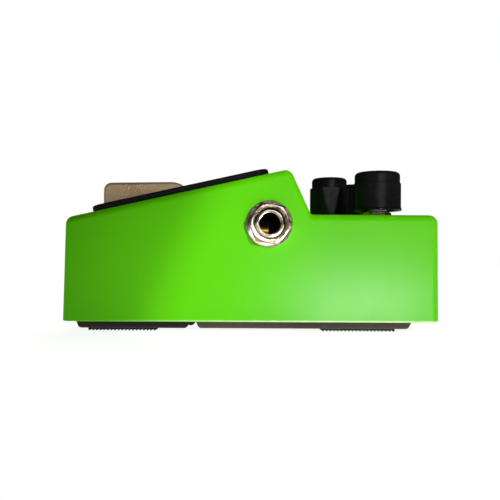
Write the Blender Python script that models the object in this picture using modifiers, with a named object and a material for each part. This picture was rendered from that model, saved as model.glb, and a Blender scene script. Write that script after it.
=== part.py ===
"""Wedge-shaped guitar effects pedal with a sprung treadle, three knobs and two jacks.

Frame: metres, +Z up, origin under the middle of the bounding box on the rest surface.
The player stands at -Y. The knobs are at +Y, the input jack is on +X, the output jack on -X.
"""
import math

import bmesh
import bpy
from mathutils import Matrix, Vector

MM = 0.001
GAP = 0.3 * MM                      # running gap between neighbouring pieces

# Housing: a die-cast shell, its side outline drawn in the YZ plane
HALF_LENGTH = 62.0 * MM
HALF_WIDTH = 37.0 * MM
RIM_Z = 3.9 * MM
WALL = 2.5 * MM
FRONT_TOP = Vector((-61.1, 38.0)) * MM
PEAK = Vector((12.9, 54.4)) * MM
DECK_FRONT = Vector((19.8, 39.3)) * MM
DECK_REAR = Vector((61.6, 39.3)) * MM
CORNER_RADIUS = 2.9 * MM
STEP_RADIUS = 1.0 * MM
SIDE_EDGE_RADIUS = 2.4 * MM
BLANK_EXTRA = 0.3                   # the blank runs on below the rim by this share, then is trimmed
DECK_Z = DECK_FRONT.y
SLOPE_ANGLE = math.atan2(PEAK.y - FRONT_TOP.y, PEAK.x - FRONT_TOP.x)

# Bottom covers: pressed pans of one sheet
SHEET = 1.2 * MM
PAN_FLOOR_Z = 1.0 * MM
FLANGE_Z = 5.1 * MM
PAN_HALF_WIDTH = 31.5 * MM
PAN_SPREAD = 1.6 * MM               # how far a pan's walls lean out
FLANGE_HALF_WIDTH = HALF_WIDTH - WALL - GAP
BASE_PAN_Y = (-17.5 * MM, 53.2 * MM)
BASE_FLANGE_Y = (-19.1 * MM, 59.2 * MM)
DOOR_PAN_Y = (-58.0 * MM, -21.5 * MM)
DOOR_FLANGE_Y = (-59.1 * MM, -19.9 * MM)
DOOR_AXIS = Vector((0.0, -20.4, 3.2)) * MM
STRIP_HALF_WIDTH = 30.0 * MM
FRONT_STRIP_Y = (-55.0 * MM, -31.7 * MM)
REAR_STRIP_Y = (23.8 * MM, 48.9 * MM)
TONGUE_X = (11.0 * MM, 19.0 * MM)   # battery door's hooks over the base plate
TONGUE_Y = (-23.0 * MM, -16.5 * MM)
BEAD_RADIUS = 1.6 * MM              # rolled rear edge of the battery door, round its hinge axis
BEAD_HALF_LENGTH = 29.0 * MM

# Base screws, their cast posts, and the pressed cups round the front pair
FRONT_SCREW = Vector((27.5, -12.0)) * MM
REAR_SCREW = Vector((30.5, 57.0)) * MM
SCREW_RADIUS = 1.3 * MM
SCREW_HEAD_RADIUS = 2.1 * MM
SCREW_LENGTH = 9.0 * MM
CUP_RADIUS = 4.4 * MM
SCREW_HEAD_HEIGHT = 0.9 * MM
POST_Z = FLANGE_Z + SHEET + GAP
FRONT_POST = ((24.0 * MM, -16.0 * MM), (-8.0 * MM, 46.5 * MM))
REAR_POST = ((27.6 * MM, 53.6 * MM), (60.8 * MM, DECK_Z - WALL / 2))

# Treadle window, bezel and treadle
WINDOW_HALF_WIDTH = 24.8 * MM
WINDOW_Y = (-52.3 * MM, -21.8 * MM)
WINDOW_RADIUS = 1.5 * MM
WINDOW_CUT_Z = 36.0 * MM
WINDOW_CUT_HEIGHT = 20.0 * MM
BEZEL_Y = (-53.5 * MM, 6.1 * MM)
BEZEL_HALF_WIDTH = 33.0 * MM
BEZEL_THICKNESS = 2.0 * MM
BEZEL_RADIUS = 4.0 * MM
BEZEL_WINDOW_RADIUS = 1.0 * MM
TREADLE_HALF_WIDTH = 24.0 * MM
TREADLE_FRONT_Y = -51.7 * MM
TREADLE_REAR_Y = -22.4 * MM
TREADLE_SKIRT_Z = 38.0 * MM
TREADLE_FRONT_Z = 50.9 * MM
TREADLE_WALL = 2.0 * MM
TREADLE_BROW = Vector((-26.9, 51.3)) * MM  # where the top starts to fall towards the hinge
TREADLE_REAR_Z = 48.9 * MM
TREADLE_RADII = (0, 0, 1.2 * MM, 15.0 * MM, 2.8 * MM)
TREADLE_INNER_RADII = (0, 0, 0.4 * MM, 10.0 * MM, 0.8 * MM)
PUSHER_RADIUS = 3.2 * MM
SPRING_SEAT_RADIUS = 2.0 * MM
SPRING_SEAT_Z = 46.0 * MM
PIN_CENTRE = Vector((-18.5, 41.5)) * MM
PIN_RADIUS = 1.5 * MM
PIN_HALF_LENGTH = 22.2 * MM
LUG_LOW = Vector((19.5, -21.2, 39.2)) * MM
LUG_HIGH = Vector((23.5, -16.0, 45.9)) * MM
EAR_X = (14.0 * MM, 18.6 * MM)
EAR_REAR_Y = -15.9 * MM
EAR_Z = (38.9 * MM, 43.6 * MM)

# Switch bracket under the treadle, on two cast posts, with the switch and two return springs
BRACKET_Z = 29.5 * MM
BRACKET_Y = (-45.0 * MM, -31.0 * MM)
BRACKET_HALF_WIDTH = 33.5 * MM
BRACKET_POST_X = 28.0 * MM
BRACKET_POST_Y = (-42.0 * MM, -34.0 * MM)
SWITCH_Y = -38.0 * MM
BRACKET_SCREW_X = 31.0 * MM
SWITCH_HALF = 6.2 * MM
SWITCH_TOP_Z = 38.0 * MM
BUTTON_RADIUS = 2.6 * MM
BUTTON_Z = (35.8 * MM, 43.6 * MM)
SWITCH_FLOOR = 1.5 * MM
SPRING_X = 15.0 * MM
SPRING_RADIUS = 3.1 * MM
SPRING_WIRE = 0.45 * MM
SPRING_TURNS = 6
SPRING_POINTS = 8                   # points in a turn

# Controls on the deck
POT_PLACES = {"drive": (-20.5 * MM, 44.8 * MM), "tone": (0.0, 30.6 * MM), "level": (20.5 * MM, 44.8 * MM)}
POT_RADIUS = 8.0 * MM
POT_Z = (27.4 * MM, DECK_Z - WALL - GAP)
BUSHING_RADIUS = 3.5 * MM
BUSHING_BORE = 2.7 * MM
SHAFT_RADIUS = 2.4 * MM
POT_NUT_FLATS = 10.0 * MM
POT_NUT_HEIGHT = 1.8 * MM
LARGE_KNOB = {"cap": 7.9, "skirt": 8.25, "bottom": 2.3, "step": 12.0, "top": 15.8}
SMALL_KNOB = {"cap": 6.75, "skirt": 7.5, "bottom": 0.6, "step": 12.3, "top": 16.2}
KNOB_RECESS_RADIUS = 6.3 * MM
KNOB_RECESS_Z = DECK_Z + 5.6 * MM
KNOB_EDGE = 0.8 * MM                # rounding of the cap
KNOB_CROWN = 3.2 * MM               # solid plastic above the shaft
GROOVE_HALF_WIDTH = 0.7 * MM
GROOVE_DEPTH = 0.8 * MM
POINTER_HALF_WIDTH = 0.4 * MM
POINTER_END = 1.4 * MM              # how far its ends stay from the cap's middle and rim
POINTER_DEPTH = 0.5 * MM
BUSHING_TOP_Z = DECK_Z + 3.6 * MM
POT_CHAMFER = 0.6 * MM
POT_FLOOR = 1.2 * MM
LED_Y = 51.5 * MM
LED_RADIUS = 2.4 * MM
LED_SLEEVE_RADIUS = 3.2 * MM
LED_FLANGE_RADIUS = 4.0 * MM
LED_FLANGE_Z = (DECK_Z + 0.9 * MM, DECK_Z + 1.5 * MM)
LED_CENTRE_Z = DECK_Z + 0.4 * MM
LED_FOOT_Z = DECK_Z - WALL - 1.0 * MM

# Jacks in the side walls, and the power inlet in the rear wall
JACK_Y = 6.0 * MM
JACK_Z = 36.1 * MM
JACK_BORE = 3.3 * MM
JACK_THREAD = 4.7 * MM
JACK_NUT_FLATS = 12.7 * MM
JACK_NUT_TURN = math.radians(21.4)  # how far the tightened nut stands from a corner pointing down
JACK_WASHER_RADIUS = 7.6 * MM
JACK_BODY_X = (8.5 * MM, HALF_WIDTH - WALL - GAP)
JACK_BODY_HALF = 7.5 * MM
JACK_BODY_WALL = 2.0 * MM
JACK_SOCKET_LENGTH = 3.4 * MM       # how far the bushing reaches into the body
JACK_END_X = 41.2 * MM
JACK_CHAMFER = 0.3 * MM
WASHER_X = (HALF_WIDTH + GAP, HALF_WIDTH + GAP + 0.8 * MM)
JACK_NUT_HEIGHT = 2.4 * MM
POCKET_X = 25.0 * MM
POCKET_Y = (-3.0 * MM, 1.2 * MM)    # from the jack's axis
POCKET_Z = (-5.2 * MM, -1.0 * MM)
CONTACT_BEND = ((12.0, -4.6), (20.0, -2.2), (24.0, -3.8))
CONTACT_LEAF = 0.4 * MM
CONTACT_WIDTH = 3.2 * MM
INLET_Z = 15.0 * MM
INLET_RADIUS = 5.3 * MM
INLET_HALF_WIDTH = 7.0 * MM
INLET_HALF_HEIGHT = 5.5 * MM
INLET_INNER_Y = 46.5 * MM
INLET_FACE_Y = HALF_LENGTH - 0.4 * MM
INLET_BORE = 3.1 * MM
INLET_BORE_DEPTH = 9.5 * MM
INLET_PIN_SPAN = (9.2 * MM, 1.2 * MM)

# Circuit board and battery
BOARD_Y = (17.0 * MM, 56.0 * MM)
BOARD_HALF_WIDTH = 24.5 * MM
BOARD_Z = (24.8 * MM, 26.4 * MM)
BATTERY_LOW = Vector((-22.0, -53.0, 6.9)) * MM
BATTERY_HIGH = Vector((26.5, -26.5, 24.4)) * MM
TERMINAL_LENGTH = 2.4 * MM
TERMINAL_RADIUS = 2.8 * MM
TERMINAL_SPREAD = 6.35 * MM
SNAP_LENGTH = 5.0 * MM
SNAP_HALF_WIDTH = 12.5 * MM
SNAP_HALF_HEIGHT = 6.0 * MM
BATTERY_BOX_LOW = Vector((-29.0, -54.6, 8.3)) * MM
BATTERY_BOX_HIGH = Vector((27.6, -25.4, 25.4)) * MM
LEAD_NOTCH_X = (-26.5 * MM, -15.5 * MM)
LEAD_NOTCH_Z = 17.0 * MM
CHIP_HALF_LENGTH = 5.0 * MM
CHIP_Y = (26.0 * MM, 32.4 * MM)
CHIP_HEIGHT = 3.4 * MM
CAPACITOR_PLACE = Vector((13.0, 30.0)) * MM
CAPACITOR_RADIUS = 3.1 * MM
CAPACITOR_HEIGHT = 9.0 * MM
WIRE_RADIUS = 0.6 * MM
LEAD_PITCH = 1.9 * MM
LEAD_ROUTE = ((-25.4, 13.4), (-18.5, 12.6), (0.0, 12.0), (14.0, 13.5), (19.5, 17.5))
JACK_WIRE_ROUTE = ((0.0, 11.0, 32.0), (1.6, 12.6, 31.4), (2.4, 16.0, 30.0), (2.4, 18.6, 28.4))

ROUND_STEPS = 28                    # facets round a turned piece
MEDIUM_STEPS = 20
SMALL_STEPS = 12
SOFT_ANGLE = math.radians(40)       # edges flatter than this are shaded smooth

# Colour, roughness and metallic value of each material
PAINTS = {
    "green_paint": ((0.16, 0.62, 0.01), 0.35, 0.0),
    "black_plastic": ((0.012, 0.012, 0.013), 0.45, 0.0),
    "satin_nickel": ((0.62, 0.57, 0.50), 0.35, 1.0),
    "bright_nickel": ((0.72, 0.66, 0.58), 0.2, 1.0),
    "zinc_steel": ((0.45, 0.45, 0.44), 0.4, 1.0),
    "spring_steel": ((0.35, 0.35, 0.36), 0.3, 1.0),
    "cover_plate": ((0.06, 0.045, 0.035), 0.5, 0.3),
    "black_rubber": ((0.015, 0.015, 0.015), 0.8, 0.0),
    "white_inlay": ((0.85, 0.85, 0.83), 0.5, 0.0),
    "red_lens": ((0.6, 0.01, 0.01), 0.15, 0.0),
    "gold_contact": ((0.8, 0.5, 0.15), 0.25, 1.0),
    "board_green": ((0.03, 0.16, 0.06), 0.5, 0.0),
    "battery_sleeve": ((0.08, 0.09, 0.12), 0.35, 0.2),
    "red_wire": ((0.5, 0.02, 0.02), 0.5, 0.0),
    "black_wire": ((0.02, 0.02, 0.02), 0.5, 0.0),
    "blue_sleeve": ((0.02, 0.05, 0.25), 0.4, 0.0),
}


# ---------------------------------------------------------------- scene set-up

def clear_scene():
    for item in list(bpy.data.objects):
        bpy.data.objects.remove(item, do_unlink=True)


def make_collection(name):
    collection = bpy.data.collections.new(name)
    bpy.context.scene.collection.children.link(collection)
    return collection


def make_material(name, colour, roughness, metallic):
    material = bpy.data.materials.new(name)
    material.use_nodes = True
    shader = material.node_tree.nodes["Principled BSDF"]
    shader.inputs["Base Color"].default_value = (*colour, 1.0)
    shader.inputs["Roughness"].default_value = roughness
    shader.inputs["Metallic"].default_value = metallic
    return material


clear_scene()
PARTS = make_collection("effects_pedal")
CUTTERS = make_collection("cutters")
MATERIALS = {name: make_material(name, *values) for name, values in PAINTS.items()}


# ---------------------------------------------------------------- modelling helpers

def add_object(name, mesh, paint=None):
    """Link a mesh as a part, or as a cutter when it has no paint."""
    item = bpy.data.objects.new(name, mesh)
    if paint is None:
        CUTTERS.objects.link(item)
        item.hide_render = True
        item.display_type = "WIRE"
        return item
    PARTS.objects.link(item)
    mesh.materials.clear()
    mesh.materials.append(MATERIALS[paint])
    return item


def pivot(name, place, *items):
    """Empty on a joint's axis, with the pieces that move about it as its children."""
    empty = bpy.data.objects.new(name, None)
    PARTS.objects.link(empty)
    empty.location = place
    bpy.context.view_layer.update()
    for item in items:
        item.parent = empty
        item.matrix_parent_inverse = empty.matrix_world.inverted()


def smooth(item):
    item.data.shade_smooth()
    item.data.set_sharp_from_angle(angle=SOFT_ANGLE)
    return item


def box(name, low, high, paint=None):
    """Axis-aligned box between two corners."""
    low, high = Vector(low), Vector(high)
    mesh = bpy.data.meshes.new(name)
    cube = bmesh.new()
    bmesh.ops.create_cube(cube, size=1.0)
    bmesh.ops.scale(cube, vec=high - low, verts=cube.verts)
    cube.to_mesh(mesh)
    cube.free()
    item = add_object(name, mesh, paint)
    item.location = (low + high) / 2
    return item


def cylinder(name, radius, start, end, paint=None, steps=ROUND_STEPS):
    """Round bar between two points."""
    start, end = Vector(start), Vector(end)
    mesh = bpy.data.meshes.new(name)
    bar = bmesh.new()
    bmesh.ops.create_cone(bar, cap_ends=True, segments=steps, radius1=radius, radius2=radius,
                          depth=(end - start).length)
    bar.to_mesh(mesh)
    bar.free()
    item = add_object(name, mesh, paint)
    item.location = (start + end) / 2
    item.rotation_euler = (end - start).to_track_quat("Z", "Y").to_euler()
    return item


def turned(name, profile, paint, location=(0, 0, 0), rotation=(0, 0, 0), closed=False,
           steps=ROUND_STEPS):
    """Profile of (radius, height) pairs, outer side downwards, turned about its own Z axis."""
    mesh = bpy.data.meshes.new(name)
    count = len(profile)
    edges = [(i, i + 1) for i in range(count - 1)]
    if closed:
        edges.append((count - 1, 0))
    mesh.from_pydata([(radius, 0.0, height) for radius, height in profile], edges, [])
    item = add_object(name, mesh, paint)
    item.location = location
    item.rotation_euler = rotation
    screw = item.modifiers.new("turn", "SCREW")
    screw.steps = steps
    screw.render_steps = steps
    screw.use_merge_vertices = True
    screw.merge_threshold = 0.00001
    return freeze(item)


def freeze(item):
    """Apply the modifiers, keeping the object, its place and its material."""
    depsgraph = bpy.context.evaluated_depsgraph_get()
    mesh = bpy.data.meshes.new_from_object(item.evaluated_get(depsgraph))
    item.modifiers.clear()
    item.data = mesh
    return smooth(item)


def extruded(name, outlines, thickness, frame, paint=None):
    """Flat outline with holes, extruded by its thickness along +Z of the given frame."""
    curve = bpy.data.curves.new(name, "CURVE")
    curve.dimensions = "2D"
    curve.fill_mode = "BOTH"
    curve.extrude = thickness / 2
    for outline in outlines:
        spline = curve.splines.new("POLY")
        spline.points.add(len(outline) - 1)
        for point, place in zip(spline.points, outline):
            point.co = (place[0], place[1], 0.0, 1.0)
        spline.use_cyclic_u = True
    guide = bpy.data.objects.new(name + "_outline", curve)
    PARTS.objects.link(guide)
    guide.matrix_world = frame @ Matrix.Translation((0, 0, thickness / 2))
    return mesh_from_curve(name, guide, paint, whole_caps=len(outlines) == 1)


def mesh_from_curve(name, guide, paint, whole_caps=False):
    bpy.context.view_layer.update()
    depsgraph = bpy.context.evaluated_depsgraph_get()
    mesh = bpy.data.meshes.new_from_object(guide.evaluated_get(depsgraph))
    welded = bmesh.new()
    welded.from_mesh(mesh)
    bmesh.ops.remove_doubles(welded, verts=welded.verts, dist=0.000001)
    if whole_caps:
        bmesh.ops.dissolve_limit(welded, angle_limit=math.radians(0.5), verts=welded.verts,
                                 edges=welded.edges)
    welded.to_mesh(mesh)
    welded.free()
    item = add_object(name, mesh, paint)
    item.matrix_world = guide.matrix_world
    bpy.data.objects.remove(guide, do_unlink=True)
    return item


def wire(name, route, radius, paint):
    """Round wire along a list of points."""
    curve = bpy.data.curves.new(name, "CURVE")
    curve.dimensions = "3D"
    curve.bevel_depth = radius
    curve.bevel_resolution = 2
    curve.use_fill_caps = True
    spline = curve.splines.new("POLY")
    spline.points.add(len(route) - 1)
    for point, place in zip(spline.points, route):
        point.co = (*place, 1.0)
    guide = bpy.data.objects.new(name + "_route", curve)
    PARTS.objects.link(guide)
    return smooth(mesh_from_curve(name, guide, paint))


def combine(item, others, operation):
    bpy.context.view_layer.update()
    for other in others:
        boolean = item.modifiers.new(other.name, "BOOLEAN")
        boolean.operation = operation
        boolean.solver = "EXACT"
        boolean.object = other
    return item


def cut(item, cutters):
    return combine(item, cutters, "DIFFERENCE")


def join(item, others):
    return combine(item, others, "UNION")


def bevel(item, width, segments=2, angle=60):
    edge = item.modifiers.new("rounded edges", "BEVEL")
    edge.use_clamp_overlap = False
    edge.width = width
    edge.segments = segments
    edge.limit_method = "ANGLE"
    edge.angle_limit = math.radians(angle)
    return item


# ---------------------------------------------------------------- outlines

def circle(radius, centre=(0.0, 0.0), steps=ROUND_STEPS):
    return [(centre[0] + radius * math.cos(2 * math.pi * i / steps),
             centre[1] + radius * math.sin(2 * math.pi * i / steps)) for i in range(steps)]


def hexagon(flats):
    return circle(flats / math.sqrt(3), steps=6)


def rounded(corners, segments=4):
    """Outline with each (point, radius) corner turned into an arc."""
    outline = []
    count = len(corners)
    for index, (point, radius) in enumerate(corners):
        before = (corners[index - 1][0] - point).normalized()
        after = (corners[(index + 1) % count][0] - point).normalized()
        if radius == 0:
            outline.append(tuple(point))
            continue
        half = before.angle(after) / 2
        centre = point + (before + after).normalized() * radius / math.sin(half)
        first = point + before * radius / math.tan(half) - centre
        sweep = first.angle_signed(point + after * radius / math.tan(half) - centre)
        for step in range(segments + 1):
            turned_by = -sweep * step / segments
            outline.append(tuple(centre + Matrix.Rotation(turned_by, 2) @ first))
    return outline


def rectangle(half_width, span, radius, segments=3):
    corners = [(-half_width, span[0]), (half_width, span[0]),
               (half_width, span[1]), (-half_width, span[1])]
    return rounded([(Vector(corner), radius) for corner in corners], segments)


def inset(corners, distance):
    """Move each side of an anticlockwise outline inwards and meet them again."""
    moved = []
    count = len(corners)
    for index, point in enumerate(corners):
        before = (point - corners[index - 1]).normalized()
        after = (corners[(index + 1) % count] - point).normalized()
        bisector = (Vector((-before.y, before.x)) + Vector((-after.y, after.x))).normalized()
        moved.append(point + bisector * distance / bisector.dot(Vector((-before.y, before.x))))
    return moved


def side_frame(x):
    """Frame whose outline plane is YZ and whose extrusion runs along +X from x."""
    axes = Matrix(((0, 0, 1), (1, 0, 0), (0, 1, 0))).to_4x4()
    return Matrix.Translation((x, 0, 0)) @ axes


def flat_frame(x, y, z):
    return Matrix.Translation((x, y, z))


def slope_z(y):
    """Height of the sloping top face at y."""
    return FRONT_TOP.y + (y - FRONT_TOP.x) * math.tan(SLOPE_ANGLE)


def slope_frame(y, lift):
    """Frame lying on the slope at y, raised along its normal."""
    tilt = Matrix.Rotation(SLOPE_ANGLE, 4, "X")
    return Matrix.Translation((0, y, slope_z(y))) @ tilt @ Matrix.Translation((0, 0, lift))


def outward(side):
    """Rotation that turns a local +Z axis to +X or -X."""
    return (0.0, side * math.pi / 2, 0.0)


# ---------------------------------------------------------------- housing and covers

def housing_corners():
    return [Vector((-HALF_LENGTH, RIM_Z)), Vector((HALF_LENGTH, RIM_Z)),
            DECK_REAR, DECK_FRONT, PEAK, FRONT_TOP]


def housing_posts():
    """Cast columns, lugs and bosses inside the shell, each grown into a wall."""
    inner = HALF_WIDTH - WALL / 2
    posts = []
    for side, label in ((1, "right"), (-1, "left")):
        spans = {
            "front_post": ((*FRONT_POST[0], POST_Z), (inner, *FRONT_POST[1])),
            "rear_post": ((*REAR_POST[0], POST_Z), (inner, *REAR_POST[1])),
            "bracket_post": ((BRACKET_POST_X, BRACKET_POST_Y[0], BRACKET_Z + SHEET + GAP),
                             (inner, BRACKET_POST_Y[1], slope_z(BRACKET_POST_Y[0]) - WALL / 2)),
            "hinge_lug": (LUG_LOW, LUG_HIGH),
        }
        for name, (low, high) in spans.items():
            low_x, high_x = sorted((side * low[0], side * high[0]))
            posts.append(box(name + "_" + label, (low_x, low[1], low[2]), (high_x, high[1], high[2])))
    return posts


def screw_holes():
    holes = []
    for side in (1, -1):
        for place in (FRONT_SCREW, REAR_SCREW):
            centre = (side * place.x, place.y)
            holes.append(cylinder("screw_hole", SCREW_RADIUS + GAP, (*centre, POST_Z - MM),
                                  (*centre, POST_Z + SCREW_LENGTH), steps=SMALL_STEPS))
        centre = (side * BRACKET_SCREW_X, SWITCH_Y)
        holes.append(cylinder("bracket_screw_hole", SCREW_RADIUS + GAP, (*centre, BRACKET_Z),
                              (*centre, BRACKET_Z + SCREW_LENGTH), steps=SMALL_STEPS))
    return holes


def make_housing():
    blank_corners = housing_corners()
    blank_corners[0] += (blank_corners[0] - FRONT_TOP) * BLANK_EXTRA
    blank_corners[1] += (blank_corners[1] - DECK_REAR) * BLANK_EXTRA
    radii = (0, 0, CORNER_RADIUS, STEP_RADIUS, CORNER_RADIUS, CORNER_RADIUS)
    housing = extruded("housing", [rounded(list(zip(blank_corners, radii)))], 2 * HALF_WIDTH,
                       side_frame(-HALF_WIDTH), "green_paint")
    bevel(housing, SIDE_EDGE_RADIUS, 3)
    inner = HALF_WIDTH - WALL
    far = 2 * HALF_LENGTH
    trim = box("rim_trim", (-far, -far, -far), (far, far, RIM_Z))
    cavity = extruded("cavity", [[tuple(corner) for corner in inset(blank_corners, WALL)]], 2 * inner,
                      side_frame(-inner))
    cut(housing, [trim, cavity])
    join(housing, housing_posts())
    window = extruded("window_cutter", [rectangle(WINDOW_HALF_WIDTH, WINDOW_Y, WINDOW_RADIUS)],
                      WINDOW_CUT_HEIGHT, flat_frame(0, 0, WINDOW_CUT_Z))
    openings = [window]
    openings.append(cylinder("jack_hole", JACK_THREAD + GAP, (-HALF_WIDTH - MM, JACK_Y, JACK_Z),
                             (HALF_WIDTH + MM, JACK_Y, JACK_Z)))
    for x, y in POT_PLACES.values():
        openings.append(cylinder("pot_hole", BUSHING_RADIUS + GAP, (x, y, DECK_Z - 2 * WALL),
                                 (x, y, DECK_Z + MM)))
    openings.append(cylinder("led_hole", LED_SLEEVE_RADIUS + GAP, (0, LED_Y, DECK_Z - 2 * WALL),
                             (0, LED_Y, DECK_Z + MM)))
    openings.append(cylinder("inlet_hole", INLET_RADIUS + GAP, (0, HALF_LENGTH - 2 * WALL, INLET_Z),
                             (0, HALF_LENGTH + MM, INLET_Z)))
    openings.append(cylinder("pin_hole", PIN_RADIUS + GAP, (-PIN_HALF_LENGTH - GAP, *PIN_CENTRE),
                             (PIN_HALF_LENGTH + GAP, *PIN_CENTRE), steps=MEDIUM_STEPS))
    smooth(cut(housing, openings + screw_holes()))


def pan(name, flange_y, floor_y, paint):
    """Pressed pan: a flat floor, four sloping walls and a flange, of one sheet."""
    low = bmesh.new()
    rings = []
    wall_foot = (floor_y, PAN_HALF_WIDTH, PAN_FLOOR_Z)
    head_y = (max(floor_y[0] - PAN_SPREAD, flange_y[0]), min(floor_y[1] + PAN_SPREAD, flange_y[1]))
    wall_head = (head_y, PAN_HALF_WIDTH + PAN_SPREAD, FLANGE_Z)
    rim = (flange_y, FLANGE_HALF_WIDTH, FLANGE_Z)
    for span, half, z in (rim, wall_head, wall_foot):
        rings.append([low.verts.new((x, y, z)) for x, y in
                      ((-half, span[0]), (half, span[0]), (half, span[1]), (-half, span[1]))])
    for outer, inner in zip(rings, rings[1:]):
        for i in range(4):
            j = (i + 1) % 4
            in_line = outer[i].co.y == outer[j].co.y == inner[i].co.y
            if not in_line:
                low.faces.new((outer[i], outer[j], inner[j], inner[i]))
    low.faces.new(rings[-1])
    bmesh.ops.recalc_face_normals(low, faces=low.faces)
    mesh = bpy.data.meshes.new(name)
    low.to_mesh(mesh)
    low.free()
    item = add_object(name, mesh, paint)
    if item.data.polygons[-1].normal.z < 0:
        item.data.flip_normals()
    sheet = item.modifiers.new("sheet", "SOLIDIFY")
    sheet.thickness = SHEET
    sheet.offset = 1.0
    return freeze(item)


def screw_clearance(x, y, top):
    return cylinder("screw_clearance", SCREW_RADIUS + GAP, (x, y, 0), (x, y, top), steps=SMALL_STEPS)


def make_base_plate():
    plate = pan("base_plate", BASE_FLANGE_Y, BASE_PAN_Y, "cover_plate")
    cups, cutters = [], []
    cup_top = FLANGE_Z + SHEET
    for side in (1, -1):
        x, y = side * FRONT_SCREW.x, FRONT_SCREW.y
        cups.append(cylinder("cup", CUP_RADIUS, (x, y, PAN_FLOOR_Z + SHEET / 2), (x, y, cup_top),
                             steps=MEDIUM_STEPS))
        cutters.append(cylinder("cup_recess", CUP_RADIUS - SHEET, (x, y, 0), (x, y, FLANGE_Z),
                                steps=MEDIUM_STEPS))
        cutters.append(screw_clearance(x, y, 2 * cup_top))
        x, y = side * REAR_SCREW.x, REAR_SCREW.y
        cutters.append(screw_clearance(x, y, 2 * cup_top))
    join(plate, cups)
    cut(plate, cutters)


def make_battery_door():
    """Pan at the front with two tongues that hook over the base plate's front edge."""
    door = pan("battery_door", DOOR_FLANGE_Y, DOOR_PAN_Y, "cover_plate")
    hooks = []
    lift = FLANGE_Z + SHEET + GAP
    for side in (1, -1):
        low_x, high_x = sorted((side * TONGUE_X[0], side * TONGUE_X[1]))
        hooks.append(box("tongue_root", (low_x, TONGUE_Y[0], FLANGE_Z + SHEET / 2),
                         (high_x, DOOR_FLANGE_Y[1], lift + SHEET)))
        hooks.append(box("tongue", (low_x, TONGUE_Y[0], lift), (high_x, TONGUE_Y[1], lift + SHEET)))
    bead = cylinder("bead", BEAD_RADIUS, (-BEAD_HALF_LENGTH, DOOR_AXIS.y, DOOR_AXIS.z),
                    (BEAD_HALF_LENGTH, DOOR_AXIS.y, DOOR_AXIS.z), steps=MEDIUM_STEPS)
    join(door, [bead] + hooks)
    strip = make_strip("front_rubber_strip", FRONT_STRIP_Y)
    pivot("battery_door_axis", DOOR_AXIS, door, strip)


def make_strip(name, span):
    return box(name, (-STRIP_HALF_WIDTH, span[0], 0), (STRIP_HALF_WIDTH, span[1], PAN_FLOOR_Z - GAP),
               "black_rubber")


def pan_head_screw(name, x, y, seat_z):
    """Screw with its head just under seat_z and its shank pointing up."""
    head_top = -GAP
    shank_top = SCREW_LENGTH - SCREW_RADIUS
    profile = [(0, shank_top), (SCREW_RADIUS, shank_top - 0.6 * MM), (SCREW_RADIUS, head_top),
               (SCREW_HEAD_RADIUS, head_top), (SCREW_HEAD_RADIUS, head_top - 0.4 * MM),
               (SCREW_HEAD_RADIUS - 0.5 * MM, head_top - SCREW_HEAD_HEIGHT),
               (0, head_top - SCREW_HEAD_HEIGHT)]
    turned(name, profile, "zinc_steel", (x, y, seat_z), steps=SMALL_STEPS)


def make_base_screws():
    for row, place in (("front", FRONT_SCREW), ("rear", REAR_SCREW)):
        for side, label in ((1, "right"), (-1, "left")):
            pan_head_screw(f"base_screw_{row}_{label}", side * place.x, place.y, FLANGE_Z)


# ---------------------------------------------------------------- bezel and treadle

def make_bezel():
    run = 1 / math.cos(SLOPE_ANGLE)
    middle = sum(BEZEL_Y) / 2
    half_run = (BEZEL_Y[1] - BEZEL_Y[0]) / 2 * run
    window = [(y - middle) * run for y in WINDOW_Y]
    opening = (window[0] + GAP, window[1] + 2 * GAP)
    outlines = [rectangle(BEZEL_HALF_WIDTH, (-half_run, half_run), BEZEL_RADIUS, 4),
                rectangle(WINDOW_HALF_WIDTH - GAP, opening, BEZEL_WINDOW_RADIUS, 2)]
    smooth(extruded("bezel_plate", outlines, BEZEL_THICKNESS, slope_frame(middle, GAP), "black_plastic"))


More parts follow.
